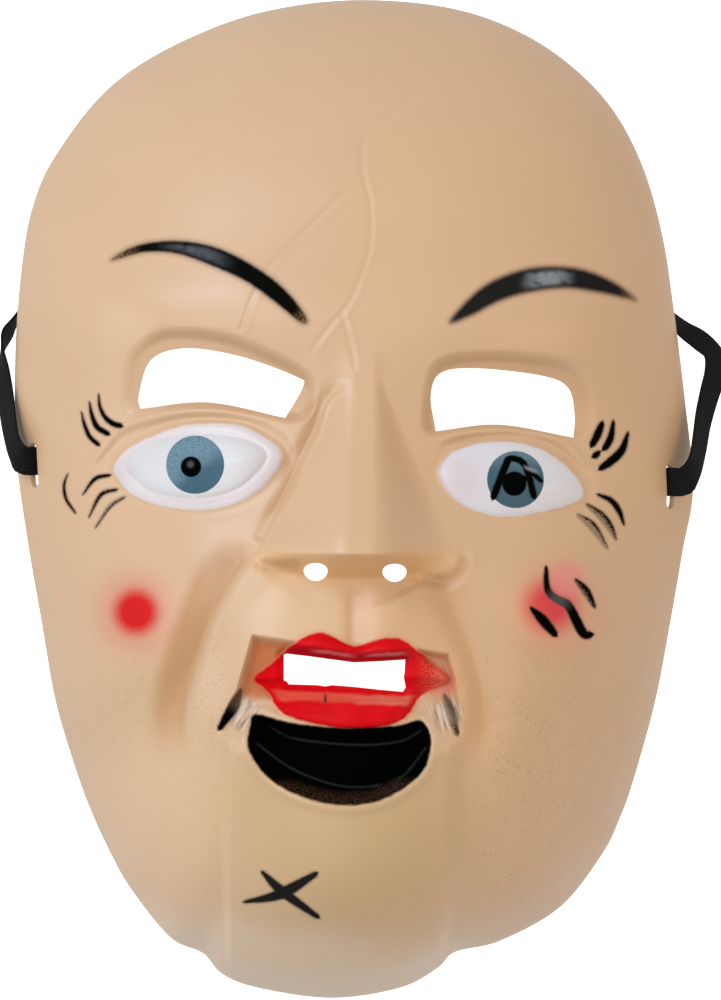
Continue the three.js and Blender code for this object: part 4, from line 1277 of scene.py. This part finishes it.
# %% Lips and the open mouth
lip_depth = measured("lip_depth")
lips = cover(lip_depth + noise(place, 1.6, 3) * 0.7, 0.3)
lip_haze = cover(lip_depth + 0.3, 1.2)
# painted shade lies above the gap between the lips, where the lip turns in, with a broken line of painted
# highlight in it
slot_depth = measured("slot_depth")
shade_above_slot = cover(slot_depth + 2.5, 0.8) * cover(v + 39.3, 0.6) * cover(15.5 - abs(u + 1.5), 2)
shine = shade_above_slot * cover(0.4 - abs(slot_depth + 1.5 + blots * 0.8), 0.35)
shine = shine * (cover(4.5 - abs(u + 5), 2) + cover(4.5 - abs(u - 8), 2))
# a painted highlight on the step below the gap, which faces up
step_line = v + 48.1 + u * 0.05 + noise(place, 5) * 1.6
step = cover(1.1 - abs(step_line), 0.5) * cover(lip_depth - 1.2, 0.9)
step_highlight_tone = mix(cover(u - 2, 8), colour(208, 84, 66), colour(210, 116, 92))
lip_tone = mix(cover(noise(place, 4), 0.3), colour(196, 10, 18), colour(212, 15, 24))
lip_tone = painted(lip_tone, [
    (shade_above_slot * 0.85, colour(150, 14, 22)),
    (shine * 0.5, colour(214, 120, 124)),
    (step * 0.75, step_highlight_tone),
])
# the red is worn off towards the right corner
worn = cover(u - 16.5, 2.5) * cover(specks + 0.02, 0.05)
faded = worn * 0.4 + cover(u - 19.5, 2) * 0.45
open_depth = measured("open_depth")
inside_mouth = cover(open_depth + noise(place, 1.8, 3) * 0.6, 0.4)
low_edge = cover(-66.5 - v - abs(u) * 0.1, 1.4) * cover(2.8 - open_depth, 1.2)
brown_dots = cover(noise(place, 0.6, 2, 0.7) + 0.03, 0.1)
# painted highlights along the ledges inside the black mouth
ledge_highlights = cover(measured("ledge_depth") - 0.75, 0.25)
mouth_tone = mix(ledge_highlights * 0.6, colour(2, 4, 3), colour(44, 48, 47))
mouth_tone = mix(low_edge * brown_dots * 0.9, mouth_tone, colour(60, 40, 29))
face_tone = painted(skin_tone, [
    (white, eye_tone),
    (lip_haze * 0.45, colour(214, 84, 66)),
    (spot(21.5, -44.2, 0.8, 5) * 0.5, colour(214, 96, 78)),
    (lips * (1 - faded), lip_tone),
    (inside_mouth, mouth_tone),
])

# %% Paint of the eyebrows
brow_depth = measured("brow_depth")
brow = cover((brow_depth + noise(place, 1.2, 3) * 0.3) * (1 - right_half * 0.35), 0.5)
brow_haze = cover(brow_depth + 0.5, 1.0)
# painted reflections of the lights on the glossy black brows
left_brow_reflection = cover(brow_depth - 0.9, 0.8) * cover(6.5 - abs(u + 39), 5) * 0.32
right_brow_reflection = cover(brow_depth - 1.0, 0.9) * cover(4.6 - abs(u - 47), 3)
brow_reflection = (left_brow_reflection + right_brow_reflection) * cover(noise(place, 3, 3) + 0.12, 0.2)
brow_tips = spot(-57.5, 58.5, 1, 6) + spot(-11.8, 42.8, 0.3, 4) + spot(68, 48.9, 0.5, 4)
tip_specks = cover(noise(place, 0.7, 2, 0.7) + 0.02, 0.1)
brow_tone = mix(right_half, colour(12, 12, 9), colour(32, 32, 30))
brow_tone = painted(brow_tone, [
    (brow_reflection, colour(130, 137, 142)),
    (brow_tips * tip_specks * 0.85, colour(126, 92, 60)),
])
face_tone = mix(brow_haze * 0.55, face_tone, colour(104, 76, 52))

# %% Ink of the brush strokes
ragged = noise(place, 0.9, 3, 0.7) * 0.35
dry_specks = noise(place, 0.4, 2, 0.7) * 1.6
on_skin = 1 - white
ink = brow * 0
for i in range(len(brushes)):
    left, half, full = parts(measured(f"brush_{i + 1}", "Vector"))
    edge = half - abs(left) + ragged
    # a thin stroke is a brown haze, with the ink in specks along its upper side
    haze = cover(edge + 0.22, 0.5) * on_skin
    haze_tone = mix(full, colour(134, 108, 78), colour(72, 52, 38))
    face_tone = mix(haze * 0.75, face_tone, haze_tone)
    dry = cover(full * 1.25 - 0.62 + (1 - full) * left + dry_specks, 0.2)
    ink = ink.join("MAXIMUM", cover(edge, 0.3) * dry)
# the ink is rubbed thin at the corners of the mouth
ink = ink * (1 - spot(-28, -47.5, 1, 4) * 0.5 - spot(23.2, -50.5, 2.5, 4) * 0.55)
ink_tone = mix(spot(-16.5, -95.5, 9, 4), colour(7, 7, 6), colour(30, 30, 28))
# a painted highlight at the right pupil, a pale streak
pupil_highlight = cover(0.35 - abs(v - 7.1 + (u - 42.9) * 0.4), 0.5) * cover(1.4 - abs(u - 42.9), 0.9)
face_tone = painted(face_tone, [
    (brow, brow_tone),
    (ink, ink_tone),
    # a painted highlight on the bend of the cheek stitch
    (spot(49.6, -24.4, 0.5, 4) * ink * 0.8, colour(88, 86, 86)),
    (pupil_highlight * 0.8, colour(150, 157, 158)),
])

# %% Gloss of the face
# the skin and the whites have a glossy coat, and the other paint is dull
matt = (lips + blush + frame_floor_shade) * 0.9
for mask in (ink, inside_mouth, brow, white * (pupil + iris * 0.8)):
    matt = matt.join("MAXIMUM", mask, clamp=True)
feed(face_tone, shader.inputs["Base Color"])
feed(1 - matt, shader.inputs["Coat Weight"])
feed(bump(grain * 0.03 + ink * 0.03 + noise(place, 2.5) * 0.02), shader.inputs["Normal"])
shader.inputs["Roughness"].default_value = 0.6
shader.inputs["Specular IOR Level"].default_value = 0.0
shader.inputs["Coat Roughness"].default_value = 0.35
print("nodes of the whole face:", len(tree.nodes))

# %% [markdown]
# ## Bare plastic and black elastic
# Inside and on its cut edges the plastic is unpainted, a little lighter, with the faint clouds of a
# moulding. The elastic is a dull black weave. Its ribs follow the band, because they are drawn from how far
# across and along the band each vertex lies, which was stored when the band was made.
# %% Bare plastic
tree, shader = new_tree(bare_plastic)
place = millimetres(tree)
flow = noise(place, 9, 3)
bare_tone = mix(cover(flow, 0.3), (0.62, 0.42, 0.25, 1.0), (0.7, 0.47, 0.28, 1.0))
feed(bare_tone, shader.inputs["Base Color"])
feed(0.38 + flow * 0.15, shader.inputs["Roughness"])
feed(bump(flow * 0.08 + noise(place, 1.1) * 0.02), shader.inputs["Normal"])

# %% Black elastic
RIB_PITCH, PICK_PITCH = 3.6, 7.0
black_elastic = bpy.data.materials.new("ribbed_elastic")
strap.data.materials.append(black_elastic)
tree, shader = new_tree(black_elastic)
weave = make(tree, "ShaderNodeAttribute", {"attribute_name": "weave"}, {}, "Vector")
across, along, _ = parts(weave)
rib_wave = (across * RIB_PITCH).join("SINE")
picks = (along * PICK_PITCH + rib_wave * 0.6).join("SINE")
fuzz = noise(millimetres(tree), 0.25, 2, 0.7)
thread = abs(rib_wave) * 0.7 + picks * 0.3 + fuzz * 0.6
elastic_tone = mix(cover(thread - 0.5, 0.6), (0.002, 0.002, 0.002, 1.0), (0.009, 0.009, 0.009, 1.0))
feed(elastic_tone, shader.inputs["Base Color"])
feed(bump(thread * 0.12), shader.inputs["Normal"])
shader.inputs["Roughness"].default_value = 0.72
shader.inputs["Specular IOR Level"].default_value = 0.12

# %% Finish the shell
MILLIMETRE = 0.001
skin.vertices.foreach_set("co", (points * MILLIMETRE).ravel())
skin.update()
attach(shell, "root")
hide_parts("mask_shell")

# %% [markdown]
# ## Studio
# The photograph has a white ground and soft light from the upper left. The floor is white paper that shines
# a little, so that it stays white, and its light is kept off the mask. Two softboxes to the upper left give
# most of the light, two at the sides shape the cheeks and the jaw, and a white world fills the shadows.
# %% Floor and lights
LIGHT_DISTANCE = 2.2
bm = bmesh.new()
bmesh.ops.create_grid(bm, x_segments=2, y_segments=2, size=3)
floor = new_piece("paper_floor", bm)
white_paper = bpy.data.materials.new("white_paper")
floor.data.materials.append(white_paper)
tree, shader = new_tree(white_paper)
shader.inputs["Base Color"].default_value = (0.8, 0.8, 0.8, 1)
shader.inputs["Roughness"].default_value = 0.9
shader.inputs["Emission Color"].default_value = (1, 1, 1, 1)
shader.inputs["Emission Strength"].default_value = 1.0
floor.visible_diffuse = False
floor.visible_glossy = False
floor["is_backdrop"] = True

world = bpy.data.worlds.new("studio")
bpy.context.scene.world = world
world.use_nodes = True
background = world.node_tree.nodes["Background"]
background.inputs["Color"].default_value = (1, 1, 1, 1)
background.inputs["Strength"].default_value = 0.7


def softbox(name, off_zenith, azimuth, size, radiance):
    """A flat soft light that faces the mask, with the same brightness all over."""
    light = bpy.data.lights.new(name, "AREA")
    light.shape = "RECTANGLE"
    light.size, light.size_y = size
    light.energy = max(radiance) * np.pi * size[0] * size[1]
    light.color = [part / max(radiance) for part in radiance]
    lamp = bpy.data.objects.new(name, light)
    tilt, turn = np.radians(off_zenith), np.radians(azimuth)
    direction = np.array([np.sin(tilt) * np.cos(turn), np.sin(tilt) * np.sin(turn), np.cos(tilt)])
    lamp.location = LIGHT_DISTANCE * direction
    lamp.rotation_euler = (-lamp.location).to_track_quat("-Z", "Y").to_euler()
    lamp.visible_camera = False
    bpy.context.scene.collection.objects.link(lamp)


softbox("key_softbox", 25, 164, (1.3, 1.1), (2.45, 2.5, 2.7))
softbox("upper_left_softbox", 50, 135, (0.9, 0.9), (4.6, 5.2, 6.8))
softbox("right_softbox", 60, 0, (0.9, 1.3), (2.05, 1.15, 0.45))
softbox("low_left_softbox", 72, 180, (0.9, 0.9), (2.25, 2.2, 2.4))
bpy.context.scene.view_settings.view_transform = "Standard"

# %% Measure both boxes and finish
dressed_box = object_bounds()
boxes = {
    "cad": [list(corner) for corner in cad_box],
    "visual": [list(corner) for corner in dressed_box],
}
for name, (low, high) in boxes.items():
    print(name, "size in mm:", [round((b - a) * 1000, 1) for a, b in zip(low, high)])
